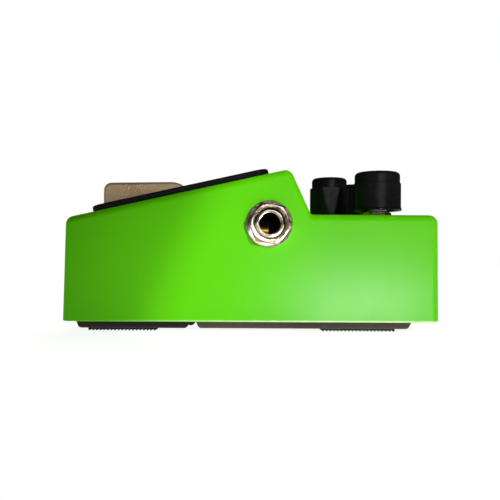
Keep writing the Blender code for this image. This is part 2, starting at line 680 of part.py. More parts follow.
def make_treadle():
    """Cover open at the bottom, with hinge ears behind and a pusher and spring seats inside."""
    corners = [Vector((TREADLE_FRONT_Y, TREADLE_SKIRT_Z)), Vector((TREADLE_REAR_Y, TREADLE_SKIRT_Z)),
               Vector((TREADLE_REAR_Y, TREADLE_REAR_Z)), TREADLE_BROW,
               Vector((TREADLE_FRONT_Y, TREADLE_FRONT_Z))]
    outer = rounded(list(zip(corners, TREADLE_RADII)), 5)
    treadle = extruded("treadle", [outer], 2 * TREADLE_HALF_WIDTH, side_frame(-TREADLE_HALF_WIDTH),
                       "satin_nickel")
    inside = inset(corners, TREADLE_WALL)
    inside[0].y -= 2 * TREADLE_WALL
    inside[1].y -= 2 * TREADLE_WALL
    half = TREADLE_HALF_WIDTH - TREADLE_WALL
    cavity = extruded("treadle_cavity", [rounded(list(zip(inside, TREADLE_INNER_RADII)), 4)], 2 * half,
                      side_frame(-half))
    cut(treadle, [cavity])
    roof = TREADLE_FRONT_Z - TREADLE_WALL / 2
    pieces = [cylinder("pusher", PUSHER_RADIUS, (0, SWITCH_Y, BUTTON_Z[1] + GAP), (0, SWITCH_Y, roof),
                       steps=MEDIUM_STEPS)]
    for side in (1, -1):
        pieces.append(cylinder("spring_seat", SPRING_SEAT_RADIUS, (side * SPRING_X, SWITCH_Y, SPRING_SEAT_Z),
                               (side * SPRING_X, SWITCH_Y, roof), steps=MEDIUM_STEPS))
        low_x, high_x = sorted((side * EAR_X[0], side * EAR_X[1]))
        pieces.append(box("ear", (low_x, TREADLE_REAR_Y - TREADLE_WALL / 2, EAR_Z[0]),
                          (high_x, EAR_REAR_Y, EAR_Z[1])))
    join(treadle, pieces)
    pin_bore = cylinder("treadle_pin_bore", PIN_RADIUS + GAP / 2, (-PIN_HALF_LENGTH, *PIN_CENTRE),
                        (PIN_HALF_LENGTH, *PIN_CENTRE), steps=24)
    smooth(cut(treadle, [pin_bore]))
    pivot("treadle_axis", (0, *PIN_CENTRE), treadle)


def make_hinge_pin():
    smooth(cylinder("treadle_hinge_pin", PIN_RADIUS, (-PIN_HALF_LENGTH, *PIN_CENTRE),
                    (PIN_HALF_LENGTH, *PIN_CENTRE), "zinc_steel", steps=24))


def make_switch_bracket():
    outlines = [rectangle(BRACKET_HALF_WIDTH, BRACKET_Y, 2.0 * MM)]
    for side in (1, -1):
        outlines.append(circle(SCREW_RADIUS + GAP, (side * BRACKET_SCREW_X, SWITCH_Y), SMALL_STEPS))
    extruded("switch_bracket", outlines, SHEET, flat_frame(0, 0, BRACKET_Z), "zinc_steel")
    for side, label in ((1, "right"), (-1, "left")):
        pan_head_screw("bracket_screw_" + label, side * BRACKET_SCREW_X, SWITCH_Y, BRACKET_Z)


def make_footswitch():
    floor = BRACKET_Z + SHEET + GAP
    case = box("footswitch_case", (-SWITCH_HALF, SWITCH_Y - SWITCH_HALF, floor),
               (SWITCH_HALF, SWITCH_Y + SWITCH_HALF, SWITCH_TOP_Z), "black_plastic")
    bore = cylinder("button_bore", BUTTON_RADIUS + GAP, (0, SWITCH_Y, floor + SWITCH_FLOOR),
                    (0, SWITCH_Y, SWITCH_TOP_Z + MM), steps=MEDIUM_STEPS)
    cut(case, [bore])
    button = smooth(cylinder("footswitch_button", BUTTON_RADIUS, (0, SWITCH_Y, BUTTON_Z[0]),
                             (0, SWITCH_Y, BUTTON_Z[1]), "white_inlay", steps=MEDIUM_STEPS))
    pivot("footswitch_axis", (0, SWITCH_Y, BUTTON_Z[0]), button)


def make_springs():
    low = BRACKET_Z + SHEET + GAP + SPRING_WIRE
    high = TREADLE_FRONT_Z - TREADLE_WALL - GAP - SPRING_WIRE
    steps = SPRING_POINTS * SPRING_TURNS
    for side, label in ((1, "right"), (-1, "left")):
        route = []
        for step in range(steps + 1):
            angle = 2 * math.pi * SPRING_TURNS * step / steps
            route.append((side * SPRING_X + SPRING_RADIUS * math.cos(angle),
                          SWITCH_Y + SPRING_RADIUS * math.sin(angle),
                          low + (high - low) * step / steps))
        wire("treadle_spring_" + label, route, SPRING_WIRE, "spring_steel")


# ---------------------------------------------------------------- controls

def make_knob(name, x, y, size):
    """Two-step knob with a hollow underside and a blind bore for its shaft."""
    cap, skirt = size["cap"] * MM, size["skirt"] * MM
    bottom, step, top = (DECK_Z + size[key] * MM for key in ("bottom", "step", "top"))
    rounding = 0.25 * KNOB_EDGE
    bore_top = top - KNOB_CROWN
    profile = [(0, top), (cap - KNOB_EDGE, top), (cap - rounding, top - rounding), (cap, top - KNOB_EDGE),
               (cap, step), (skirt, step - 0.4 * MM), (skirt, bottom), (KNOB_RECESS_RADIUS, bottom),
               (KNOB_RECESS_RADIUS, KNOB_RECESS_Z), (BUSHING_BORE, KNOB_RECESS_Z), (BUSHING_BORE, bore_top),
               (0, bore_top)]
    knob = turned(name + "_knob", profile, "black_plastic", (x, y, 0))
    groove = box(name + "_groove", (x - GROOVE_HALF_WIDTH, y + POINTER_END - 2 * GAP, top - GROOVE_DEPTH),
                 (x + GROOVE_HALF_WIDTH, y + cap, top + MM))
    cut(knob, [groove])
    pointer = box(name + "_pointer", (x - POINTER_HALF_WIDTH, y + POINTER_END, top - POINTER_DEPTH),
                  (x + POINTER_HALF_WIDTH, y + cap - POINTER_END, top - 0.1 * GAP), "white_inlay")
    return knob, pointer


def make_pot(name, x, y, size):
    """Potentiometer case with its threaded bushing, its shaft and its nut."""
    low, high = POT_Z
    floor = low + POT_FLOOR
    profile = [(BUSHING_BORE, BUSHING_TOP_Z), (BUSHING_RADIUS, BUSHING_TOP_Z), (BUSHING_RADIUS, high),
               (POT_RADIUS - POT_CHAMFER, high), (POT_RADIUS, high - POT_CHAMFER), (POT_RADIUS, low),
               (0, low), (0, floor), (BUSHING_BORE, floor)]
    turned(name + "_pot", profile, "zinc_steel", (x, y, 0), closed=True)
    nut = [hexagon(POT_NUT_FLATS), circle(BUSHING_RADIUS + GAP, steps=MEDIUM_STEPS)]
    extruded(name + "_nut", nut, POT_NUT_HEIGHT, flat_frame(x, y, DECK_Z + GAP), "bright_nickel")
    shaft_top = DECK_Z + size["top"] * MM - KNOB_CROWN - GAP
    return smooth(cylinder(name + "_shaft", SHAFT_RADIUS, (x, y, floor + GAP), (x, y, shaft_top),
                           "bright_nickel", steps=MEDIUM_STEPS))


def make_controls():
    for name, (x, y) in POT_PLACES.items():
        size = SMALL_KNOB if name == "tone" else LARGE_KNOB
        shaft = make_pot(name, x, y, size)
        pivot(name + "_axis", (x, y, DECK_Z), shaft, *make_knob(name, x, y, size))


def make_led():
    inner = LED_RADIUS + GAP
    edge_z, top_z = LED_FLANGE_Z
    seat_z = DECK_Z + GAP
    ring = [(inner, top_z), (LED_SLEEVE_RADIUS, top_z), (LED_FLANGE_RADIUS, edge_z),
            (LED_FLANGE_RADIUS, seat_z), (LED_SLEEVE_RADIUS, seat_z), (LED_SLEEVE_RADIUS, LED_FOOT_Z),
            (inner, LED_FOOT_Z)]
    turned("led_holder", ring, "bright_nickel", (0, LED_Y, 0), closed=True, steps=MEDIUM_STEPS)
    dome = [(LED_RADIUS * math.sin(angle), LED_CENTRE_Z + LED_RADIUS * math.cos(angle))
            for angle in (i * math.pi / 10 for i in range(6))]
    foot = LED_FOOT_Z - MM
    turned("led", dome + [(LED_RADIUS, foot), (0, foot)], "red_lens", (0, LED_Y, 0), steps=MEDIUM_STEPS)


# ---------------------------------------------------------------- jacks and power inlet

def jack_point(side, depth):
    return (side * depth, JACK_Y, JACK_Z)


def make_jack(name, side):
    near, far = JACK_BODY_X
    half = JACK_BODY_HALF
    corners = sorted((side * near, side * far))
    body = box(name + "_jack_body", (corners[0], JACK_Y - half, JACK_Z - half),
               (corners[1], JACK_Y + half, JACK_Z + half), "black_plastic")
    thread = JACK_THREAD + GAP
    socket_depth = far - JACK_SOCKET_LENGTH
    bore = cylinder(name + "_bore", JACK_BORE + GAP, jack_point(side, near + JACK_BODY_WALL),
                    jack_point(side, far + MM), steps=MEDIUM_STEPS)
    socket = cylinder(name + "_socket", thread, jack_point(side, socket_depth), jack_point(side, far + MM))
    pocket_x = sorted((side * (near + JACK_BODY_WALL), side * POCKET_X))
    pocket = box(name + "_pocket", (pocket_x[0], JACK_Y + POCKET_Y[0], JACK_Z + POCKET_Z[0]),
                 (pocket_x[1], JACK_Y + POCKET_Y[1], JACK_Z + POCKET_Z[1]))
    cut(body, [bore, socket, pocket])
    edge_x = JACK_END_X - JACK_CHAMFER
    inner_x = socket_depth + GAP
    sleeve = [(JACK_BORE, edge_x), (JACK_BORE + JACK_CHAMFER, JACK_END_X),
              (JACK_THREAD - JACK_CHAMFER, JACK_END_X), (JACK_THREAD, edge_x), (JACK_THREAD, inner_x),
              (JACK_BORE, inner_x)]
    axis = (0, JACK_Y, JACK_Z)
    turned(name + "_jack_bushing", sleeve, "bright_nickel", axis, outward(side), closed=True)
    washer_low, washer_high = WASHER_X
    disc = [(thread, washer_high), (JACK_WASHER_RADIUS, washer_high), (JACK_WASHER_RADIUS, washer_low),
            (thread, washer_low)]
    turned(name + "_jack_washer", disc, "bright_nickel", axis, outward(side), closed=True)
    nut_frame = Matrix.Translation(axis) @ Matrix.Rotation(side * math.pi / 2, 4, "Y")
    seat = Matrix.Translation((0, 0, washer_high + GAP))
    nut_frame = nut_frame @ Matrix.Rotation(JACK_NUT_TURN, 4, "Z") @ seat
    nut = extruded(name + "_jack_nut", [hexagon(JACK_NUT_FLATS), circle(thread)], JACK_NUT_HEIGHT,
                   nut_frame, "bright_nickel")
    bevel(nut, 0.25 * MM, 1)
    make_tip_contact(name, side)


def make_tip_contact(name, side):
    """Bent leaf in the pocket under the bore."""
    upper = [(side * x * MM, z * MM + CONTACT_LEAF) for x, z in CONTACT_BEND]
    lower = [(side * x * MM, z * MM) for x, z in reversed(CONTACT_BEND)]
    upright = Matrix.Rotation(math.pi / 2, 4, "X")
    frame = Matrix.Translation((0, JACK_Y + 0.6 * MM, JACK_Z)) @ upright
    extruded(name + "_tip_contact", [upper + lower], CONTACT_WIDTH, frame, "gold_contact")


def make_power_inlet():
    inner_wall = HALF_LENGTH - WALL - 2 * GAP
    case = box("power_inlet", (-INLET_HALF_WIDTH, INLET_INNER_Y, INLET_Z - INLET_HALF_HEIGHT),
               (INLET_HALF_WIDTH, inner_wall, INLET_Z + INLET_HALF_HEIGHT), "black_plastic")
    collar = cylinder("inlet_collar", INLET_RADIUS, (0, inner_wall - MM, INLET_Z),
                      (0, INLET_FACE_Y, INLET_Z))
    join(case, [collar])
    bore = cylinder("inlet_bore", INLET_BORE, (0, INLET_FACE_Y - INLET_BORE_DEPTH, INLET_Z),
                    (0, INLET_FACE_Y + MM, INLET_Z), steps=MEDIUM_STEPS)
    cut(case, [bore])
    start, end = (INLET_FACE_Y - depth for depth in INLET_PIN_SPAN)
    smooth(cylinder("power_inlet_pin", MM, (0, start, INLET_Z), (0, end, INLET_Z), "bright_nickel",
                    steps=MEDIUM_STEPS))


# ---------------------------------------------------------------- electronics

def make_board():
    box("main_board", (-BOARD_HALF_WIDTH, BOARD_Y[0], BOARD_Z[0]),
        (BOARD_HALF_WIDTH, BOARD_Y[1], BOARD_Z[1]), "board_green")
    top = BOARD_Z[0] - GAP
    box("op_amp_chip", (-CHIP_HALF_LENGTH, CHIP_Y[0], top - CHIP_HEIGHT), (CHIP_HALF_LENGTH, CHIP_Y[1], top),
        "black_plastic")
    for side, label in ((1, "right"), (-1, "left")):
        x, y = side * CAPACITOR_PLACE.x, CAPACITOR_PLACE.y
        smooth(cylinder("capacitor_" + label, CAPACITOR_RADIUS, (x, y, top - CAPACITOR_HEIGHT), (x, y, top),
                        "blue_sleeve", steps=MEDIUM_STEPS))


def make_battery():
    middle = (BATTERY_LOW + BATTERY_HIGH) / 2
    battery = box("battery", BATTERY_LOW, BATTERY_HIGH, "battery_sleeve")
    bevel(battery, 1.8 * MM)
    studs, sockets = [], []
    end = BATTERY_LOW.x
    for side in (1, -1):
        y = middle.y + side * TERMINAL_SPREAD
        tip = end - TERMINAL_LENGTH
        studs.append(cylinder("stud", TERMINAL_RADIUS, (end + MM, y, middle.z), (tip, y, middle.z),
                              steps=MEDIUM_STEPS))
        sockets.append(cylinder("stud_socket", TERMINAL_RADIUS + GAP, (end, y, middle.z),
                                (tip - GAP, y, middle.z), steps=MEDIUM_STEPS))
    join(battery, studs)
    reach = Vector((0, SNAP_HALF_WIDTH, SNAP_HALF_HEIGHT))
    snap = box("battery_snap", Vector((end - SNAP_LENGTH, middle.y, middle.z)) - reach,
               Vector((end - GAP, middle.y, middle.z)) + reach, "black_plastic")
    bevel(snap, 0.8 * MM)
    cut(snap, sockets)


def make_battery_box():
    """Tray over the battery, open at the bottom, with a notch for the leads."""
    low, high = BATTERY_BOX_LOW, BATTERY_BOX_HIGH
    wall = Vector((SHEET, SHEET, 0))
    tray = box("battery_box", low - wall, high + wall + Vector((0, 0, SHEET)), "black_plastic")
    hollow = box("battery_space", low - Vector((0, 0, MM)), high)
    notch = box("lead_notch", (LEAD_NOTCH_X[0], high.y - MM, 0),
                (LEAD_NOTCH_X[1], high.y + 2 * SHEET, LEAD_NOTCH_Z))
    cut(tray, [hollow, notch])


def make_wires():
    snap_x = BATTERY_LOW.x - 3.4 * MM
    snap_y = (BATTERY_LOW.y + BATTERY_HIGH.y) / 2 + SNAP_HALF_WIDTH + GAP
    for shift, label in enumerate(("red", "black")):
        start = snap_x + shift * LEAD_PITCH
        x = -21.6 * MM + shift * LEAD_PITCH
        places = [(y * MM, z * MM) for y, z in LEAD_ROUTE]
        route = [(start, snap_y, 14.0 * MM), (start, *places[0])] + [(x, *place) for place in places[1:]]
        route.append((x, 21.0 * MM, BOARD_Z[0] - GAP))
        wire("battery_lead_" + label, route, WIRE_RADIUS, label + "_wire")
    for label, side, paint in (("input", 1, "red_wire"), ("output", -1, "black_wire")):
        start = JACK_BODY_X[0] - GAP
        route = [(side * (start - x * MM), y * MM, z * MM) for x, y, z in JACK_WIRE_ROUTE]
        last = route[-1]
        route.append((last[0], last[1] + WIRE_RADIUS, BOARD_Z[1] + GAP))
        wire(label + "_wire", route, WIRE_RADIUS, paint)


def build():
    make_housing()
    make_base_plate()
    make_battery_door()
    make_strip("rear_rubber_strip", REAR_STRIP_Y)
    make_base_screws()
    make_bezel()
    make_treadle()
    make_hinge_pin()
    make_switch_bracket()
    make_footswitch()
    make_springs()
    make_controls()
    make_led()
    make_jack("input", 1)
    make_jack("output", -1)
    make_power_inlet()
    make_board()
    make_battery()
    make_battery_box()
    make_wires()


build()
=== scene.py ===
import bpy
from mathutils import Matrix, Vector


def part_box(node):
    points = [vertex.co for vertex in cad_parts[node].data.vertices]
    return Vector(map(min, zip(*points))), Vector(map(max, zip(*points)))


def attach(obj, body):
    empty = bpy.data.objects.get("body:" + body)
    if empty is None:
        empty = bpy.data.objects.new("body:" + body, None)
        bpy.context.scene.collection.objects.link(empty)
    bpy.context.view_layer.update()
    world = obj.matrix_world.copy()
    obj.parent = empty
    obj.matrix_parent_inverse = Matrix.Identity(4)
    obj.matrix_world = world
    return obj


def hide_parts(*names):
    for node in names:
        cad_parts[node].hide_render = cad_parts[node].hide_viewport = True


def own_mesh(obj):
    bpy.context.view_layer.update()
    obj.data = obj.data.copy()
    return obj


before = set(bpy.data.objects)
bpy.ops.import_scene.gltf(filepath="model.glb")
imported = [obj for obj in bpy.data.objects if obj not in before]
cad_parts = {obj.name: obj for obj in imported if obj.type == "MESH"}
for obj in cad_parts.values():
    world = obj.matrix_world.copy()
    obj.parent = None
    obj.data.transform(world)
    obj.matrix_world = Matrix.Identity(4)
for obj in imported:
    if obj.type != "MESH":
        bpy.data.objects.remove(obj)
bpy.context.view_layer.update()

import math

import bmesh
import bpy
from mathutils import Matrix, Vector

# Green wedge-shaped guitar pedal. Metres, +Z up, the player at -Y, the knobs at +Y,
# the input jack on +X and the output jack on -X, the rubber strips standing on z = 0.
MM = 0.001
CONTACT = 0.02 * MM                 # how close pieces that touch are set
SLIVER = 0.004 * MM                 # shorter edges than this are closed up

# ---------------------------------------------------------------- sizes

# Housing outline in the YZ plane
HOUSING_LOW, HOUSING_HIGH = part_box("housing")
HALF_LENGTH = HOUSING_HIGH.y
HALF_WIDTH = HOUSING_HIGH.x
RIM_Z = HOUSING_LOW.z
WALL = 2.5 * MM
FRONT_TOP = Vector((-61.1, 38.0)) * MM
PEAK = Vector((12.9, 54.4)) * MM
DECK_FRONT = Vector((19.8, 39.3)) * MM
DECK_REAR = Vector((61.6, 39.3)) * MM
DECK_Z = DECK_FRONT.y
CORNER_RADIUS = 2.9 * MM
STEP_RADIUS = 1.0 * MM
SIDE_EDGE_RADIUS = 2.4 * MM
RIM_ROUNDING = 0.45 * MM
BLANK_EXTRA = 0.3                   # how much further the end walls run before they are trimmed
SLOPE_ANGLE = math.atan2(PEAK.y - FRONT_TOP.y, PEAK.x - FRONT_TOP.x)

# Treadle, its window and its hinge
WINDOW_HALF_WIDTH = 24.8 * MM
WINDOW_Y = (-52.3 * MM, -21.8 * MM)
BEZEL_Y = (-53.5 * MM, 6.1 * MM)
BEZEL_HALF_WIDTH = 33.0 * MM
BEZEL_THICKNESS = 2.3 * MM
SLOT_SIDE_LIP = 0.3 * MM            # how far the bezel overlaps the window on each side
SLOT_FRONT_LIP = 0.3 * MM
SLOT_REAR_GAP = 0.6 * MM            # how far the slot runs past the window at its rear
TREADLE_LOW, TREADLE_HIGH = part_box("treadle")
TREADLE_HALF_WIDTH = TREADLE_HIGH.x
TREADLE_SKIRT_Z = TREADLE_LOW.z
TREADLE_FRONT_Z = 50.9 * MM
TREADLE_BROW = Vector((-25.4, 51.3)) * MM
TREADLE_REAR_Z = 48.9 * MM
TREADLE_Y = (-51.7 * MM, -22.4 * MM)
TREADLE_WALL = 2.0 * MM
TREADLE_RADII = (0, 0, 1.2 * MM, 8.0 * MM, 2.8 * MM)        # skirt, skirt, rear, brow, front
TREADLE_HOLLOW_RADII = (0, 0, 0.4 * MM, 5.0 * MM, 0.8 * MM)
TREADLE_EDGE = 1.1 * MM
PUSHER_RADIUS = 3.2 * MM
SPRING_SEAT_RADIUS = 2.0 * MM
RIDGE_COUNT = 6
RIDGE_PITCH = 1.35 * MM
RIDGE_RADIUS = 0.45 * MM
PIN_CENTRE = Vector((-18.5, 41.5)) * MM
PIN_RADIUS = 1.5 * MM
LUG_X = (19.5 * MM, 23.5 * MM)
EAR_X = (14.0 * MM, 18.6 * MM)
SWITCH_Y = -38.0 * MM
SPRING_X = 15.0 * MM
SPRING_RADIUS = 3.1 * MM
SPRING_WIRE = 0.45 * MM
SPRING_TURNS = 6

# Controls: radii of each knob's cap and skirt, and heights above the deck, in millimetres
KNOBS = {
    "drive": {"cap": 7.9, "skirt": 8.25, "bottom": 2.3, "step": 12.0, "top": 15.8, "facets": 0},
    "tone": {"cap": 6.75, "skirt": 7.5, "bottom": 0.6, "step": 12.3, "top": 16.2, "facets": 6},
    "level": {"cap": 7.9, "skirt": 8.25, "bottom": 2.3, "step": 12.0, "top": 15.8, "facets": 0},
}
KNOB_RECESS = 6.3 * MM
KNOB_BORE = 2.7 * MM
KNOB_EDGE = 1.3 * MM                # rounding round the cap's top
FACET_DEPTH = 0.75 * MM
FACET_REACH = 0.62                  # share of the skirt's height that a facet runs down
FACET_TURN = math.radians(-2)
POT_NUT_FLATS = 8.6 * MM
POT_NUT_HEIGHT = 1.9 * MM
POT_NUT_TURN = math.radians(20)
BUSHING_RADIUS = 3.5 * MM
LED_Y = 51.5 * MM

# Jacks and power inlet
JACK_Y = 6.0 * MM
JACK_Z = 36.1 * MM
JACK_BORE = 3.35 * MM
JACK_THREAD = 4.7 * MM
JACK_NUT_FLATS = 12.7 * MM
JACK_NUT_TURN = math.radians(21.4)
JACK_NUT_HEIGHT = 2.5 * MM
JACK_WASHER_RADIUS = 7.6 * MM
JACK_WASHER_THICKNESS = 0.8 * MM
JACK_END_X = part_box("input_jack_bushing")[1].x
INLET_Z = 15.0 * MM
INLET_RADIUS = 5.3 * MM
INLET_BORE = 3.1 * MM
INLET_BORE_DEPTH = 9.5 * MM

# Covers and feet
SHEET = 1.2 * MM
PAN_FLOOR_Z = 1.0 * MM
FLANGE_Z = 5.1 * MM
PAN_HALF_WIDTH = 31.5 * MM
FLANGE_HALF_WIDTH = HALF_WIDTH - WALL - 0.3 * MM
BASE_PAN_Y = (-17.5 * MM, 53.2 * MM)
BASE_FLANGE_Y = (-19.1 * MM, 59.2 * MM)
DOOR_PAN_Y = (-58.0 * MM, -21.5 * MM)
DOOR_FLANGE_Y = (-59.1 * MM, -19.9 * MM)
DOOR_AXIS = Vector((0.0, -20.4, 3.2)) * MM
BEAD_RADIUS = 1.55 * MM
BEAD_HALF_LENGTH = 28.4 * MM
RIB_PITCH = 1.25 * MM
RIB_ROOT_Z = 0.45 * MM
RIB_NOSE_Z = 0.06 * MM              # where a rib's flanks turn into its rounded nose
FRONT_SCREW = Vector((27.5, -12.0)) * MM
REAR_SCREW = Vector((30.5, 57.0)) * MM
POST_Z = FLANGE_Z + SHEET + 0.3 * MM
CUP_RADIUS = 4.4 * MM

# Camera and the lamp that lights the side wall
CAMERA_LENS = 41.2
CAMERA_PLACE = (0.224, -0.0003, 0.0275)
CAMERA_ROLL = math.radians(0.28)
LAMP_PLACE = (0.70, 0.36, 0.30)

FINE = 96                           # facets round a visible turned piece
COARSE = 48


# ---------------------------------------------------------------- camera, light and floor

def make_camera():
    """Level with the middle of the side wall and square to it, a short way off."""
    data = bpy.data.cameras.new("camera")
    data.lens = CAMERA_LENS
    data.sensor_width = 36.0
    camera = bpy.data.objects.new("camera", data)
    roll = Matrix.Rotation(CAMERA_ROLL, 4, "Z")
    quarter = math.pi / 2
    square_on = Matrix.Rotation(quarter, 4, "Z") @ Matrix.Rotation(quarter, 4, "X")
    camera.matrix_world = Matrix.Translation(CAMERA_PLACE) @ square_on @ roll
    data.clip_start = 0.01
    bpy.context.scene.collection.objects.link(camera)
    bpy.context.scene.camera = camera


def aim(lamp, place, target):
    lamp.location = place
    lamp.rotation_euler = (Vector(target) - Vector(place)).to_track_quat("-Z", "Y").to_euler()
    lamp.visible_camera = False
    bpy.context.scene.collection.objects.link(lamp)
    return lamp


def area_light(name, place, target, size, power):
    data = bpy.data.lights.new(name, "AREA")
    data.shape = "RECTANGLE"
    data.size, data.size_y = size
    data.energy = power
    return aim(bpy.data.objects.new(name, data), place, target)


def spot_light(name, place, target, reach, blend, power, soft=0.01):
    """Lamp whose cone is reach wide, from its middle to its edge, where it meets the target."""
    data = bpy.data.lights.new(name, "SPOT")
    data.spot_size = 2 * math.atan2(reach, (Vector(target) - Vector(place)).length)
    data.spot_blend = blend
    data.shadow_soft_size = soft
    data.energy = power
    return aim(bpy.data.objects.new(name, data), place, target)


def edged_light(name, place, low, high, power):
    """Lamp whose wide cone has its soft edge along the line from low to high, and lies at +Y of it."""
    half_angle = math.radians(20)
    edge_angle = math.radians(19.4)
    place, low, high = Vector(place), Vector(low), Vector(high)
    across = (low - place).cross(high - place).normalized()
    if across.y < 0:
        across = -across
    ahead = ((low + high) / 2 - place).normalized()
    axis = ahead * math.cos(edge_angle) + across * math.sin(edge_angle)
    return spot_light(name, place, place + axis, math.tan(half_angle), 0.115, power, soft=0.004)


def make_studio():
    world = bpy.data.worlds.new("studio")
    bpy.context.scene.world = world
    world.use_nodes = True
    nodes, links = world.node_tree.nodes, world.node_tree.links
    seen, cast = nodes["Background"], nodes.new("ShaderNodeBackground")
    for background, strength in ((seen, 1.0), (cast, 0.04)):
        background.inputs["Color"].default_value = (1, 1, 1, 1)
        background.inputs["Strength"].default_value = strength
    path = nodes.new("ShaderNodeLightPath")
    mix = nodes.new("ShaderNodeMixShader")
    links.new(path.outputs["Is Camera Ray"], mix.inputs["Fac"])
    links.new(cast.outputs[0], mix.inputs[1])
    links.new(seen.outputs[0], mix.inputs[2])
    links.new(mix.outputs[0], nodes["World Output"].inputs["Surface"])
    wall = HALF_WIDTH
    key = spot_light("key", LAMP_PLACE, (wall, -0.014, 0.027), 0.043, 1.0, 10.5)
    half = edged_light("half", LAMP_PLACE, (wall, -0.0340, 0.0042), (wall, -0.015, 0.0476), 17.3)
    for lamp in (key, half):
        lamp.visible_glossy = False
    panel = area_light("panel", (0.62, 0.15, 0.22), (0, 0.04, 0.045), (0.36, 0.18), 0.8)
    panel.visible_diffuse = False
    spot_light("bore_light", (0.62, 0.012, 0.050), (0.030, 0.0046, 0.0340), 0.0026, 0.6, 1.1,
               soft=0.002)
    overhead = area_light("overhead", (-0.50, 0.0, 0.9), (0, 0, 0), (0.8, 0.9), 4.5)
    overhead.visible_glossy = False
    strip = area_light("low_strip", (0.117, 0.052, 0.003), (wall, 0.052, 0.003), (0.056, 0.005),
                       0.31)
    strip.visible_diffuse = False
    bpy.context.scene.view_settings.view_transform = "Standard"


def make_floor():
    """Wide pale floor, lit a little from within, and clear from below to show the underside."""
    sheet = bmesh.new()
    bmesh.ops.create_grid(sheet, x_segments=4, y_segments=4, size=0.9)
    floor = built_item("floor", sheet)
    floor.location.z = -0.02 * MM
    s = Surface("pale_floor", Roughness=0.8, Specular_IOR_Level=0.1, Emission_Color=(1, 1, 1, 1),
                Emission_Strength=0.90)
    s.colour(s.blend(s.noise(3.0, 2.0, 0.5), (0.36, 0.36, 0.36), (0.32, 0.32, 0.32)))
    side, clear, mix = s.node("NewGeometry"), s.node("BsdfTransparent"), s.node("MixShader")
    s.links.new(side.outputs["Backfacing"], mix.inputs["Fac"])
    s.links.new(s.shader.outputs[0], mix.inputs[1])
    s.links.new(clear.outputs[0], mix.inputs[2])
    s.links.new(mix.outputs[0], s.nodes["Material Output"].inputs["Surface"])
    floor.data.materials.append(s.material)


# ---------------------------------------------------------------- materials

class Surface:
    """Principled material in the making: object coordinates in, colour, roughness and bump out."""

    def __init__(self, name, metallic=0.0, **fixed):
        self.material = bpy.data.materials.new(name)
        self.material.use_nodes = True
        self.nodes = self.material.node_tree.nodes
        self.links = self.material.node_tree.links
        self.shader = self.nodes["Principled BSDF"]
        self.shader.inputs["Metallic"].default_value = metallic
        for socket, value in fixed.items():
            self.shader.inputs[socket.replace("_", " ")].default_value = value
        self.place = self.node("TexCoord").outputs["Object"]
        self.bumped = None

    def node(self, kind, **values):
        node = self.nodes.new("ShaderNode" + kind)
        for socket, value in values.items():
            node.inputs[socket.replace("_", " ")].default_value = value
        return node

    def noise(self, scale, detail=3.0, roughness=0.55, stretch=None):
        node = self.node("TexNoise", Scale=scale, Detail=detail, Roughness=roughness)
        place = self.place
        if stretch:
            mapping = self.node("Mapping", Scale=stretch)
            self.links.new(place, mapping.inputs["Vector"])
            place = mapping.outputs["Vector"]
        self.links.new(place, node.inputs["Vector"])
        return node.outputs["Fac"]

    def cells(self, scale):
        node = self.node("TexVoronoi", Scale=scale)
        self.links.new(self.place, node.inputs["Vector"])
        return node.outputs["Distance"]

    def along(self, axis):
        node = self.node("SeparateXYZ")
        self.links.new(self.place, node.inputs[0])
        return node.outputs[axis]

    def times(self, first, second):
        node = self.node("Math")
        node.operation = "MULTIPLY"
        self.links.new(first, node.inputs[0])
        self.links.new(second, node.inputs[1])
        return node.outputs[0]

    def spread(self, value, low, high, start=0.3, stop=0.7):
        """Map start to stop onto low to high."""
        node = self.node("MapRange", From_Min=start, From_Max=stop, To_Min=low, To_Max=high)
        self.links.new(value, node.inputs["Value"])
        return node.outputs["Result"]

    def blend(self, factor, first, second):
        node = self.node("Mix")
        node.data_type = "RGBA"
        for socket, colour in (("A", first), ("B", second)):
            if isinstance(colour, tuple):
                node.inputs[socket].default_value = (*colour, 1.0)
            else:
                self.links.new(colour, node.inputs[socket])
        self.links.new(factor, node.inputs["Factor"])
        return node.outputs["Result"]

    def colour(self, source):
        self.links.new(source, self.shader.inputs["Base Color"])

    def roughness(self, source):
        self.links.new(source, self.shader.inputs["Roughness"])

    def bump(self, height, depth):
        node = self.node("Bump", Distance=depth)
        self.links.new(height, node.inputs["Height"])
        if self.bumped:
            self.links.new(self.bumped, node.inputs["Normal"])
        self.bumped = node.outputs["Normal"]
        self.links.new(self.bumped, self.shader.inputs["Normal"])


def green_enamel():
    """Lime enamel with a soft gloss, faint orange peel and specks of dust, and a painted highlight
    along the rim.
    """
    s = Surface("green_enamel", Specular_IOR_Level=0.08)
    broad = s.spread(s.noise(28, 2.0), 0, 1)
    tone = s.blend(broad, (0.084, 0.490, 0.0), (0.094, 0.515, 0.001))
    speck = s.spread(s.noise(2600, 2.0), 0, 1, 0.62, 0.8)
    tone = s.blend(speck, tone, (0.12, 0.56, 0.01))
    # Pale green band just above the rim, stronger towards +Y: a painted highlight where the rounded rim
    # would catch light from the floor.
    rim = s.times(s.spread(s.along("Z"), 0, 1, RIM_Z + 0.04 * MM, RIM_Z + 0.12 * MM),
                  s.spread(s.along("Z"), 1, 0, RIM_Z + 0.35 * MM, RIM_Z + 0.7 * MM))
    rim_highlight = s.times(rim, s.spread(s.along("Y"), 0, 1, -50 * MM, 20 * MM))
    s.colour(s.blend(s.times(rim_highlight, s.spread(s.noise(300), 0.6, 1.0)), tone, (0.80, 0.94, 0.52)))
    s.roughness(s.spread(s.noise(420), 0.37, 0.42))
    s.bump(s.noise(650, 2.0, 0.5), 0.012 * MM)
    s.bump(s.noise(4200, 1.0, 0.5), 0.0016 * MM)
    return s.material


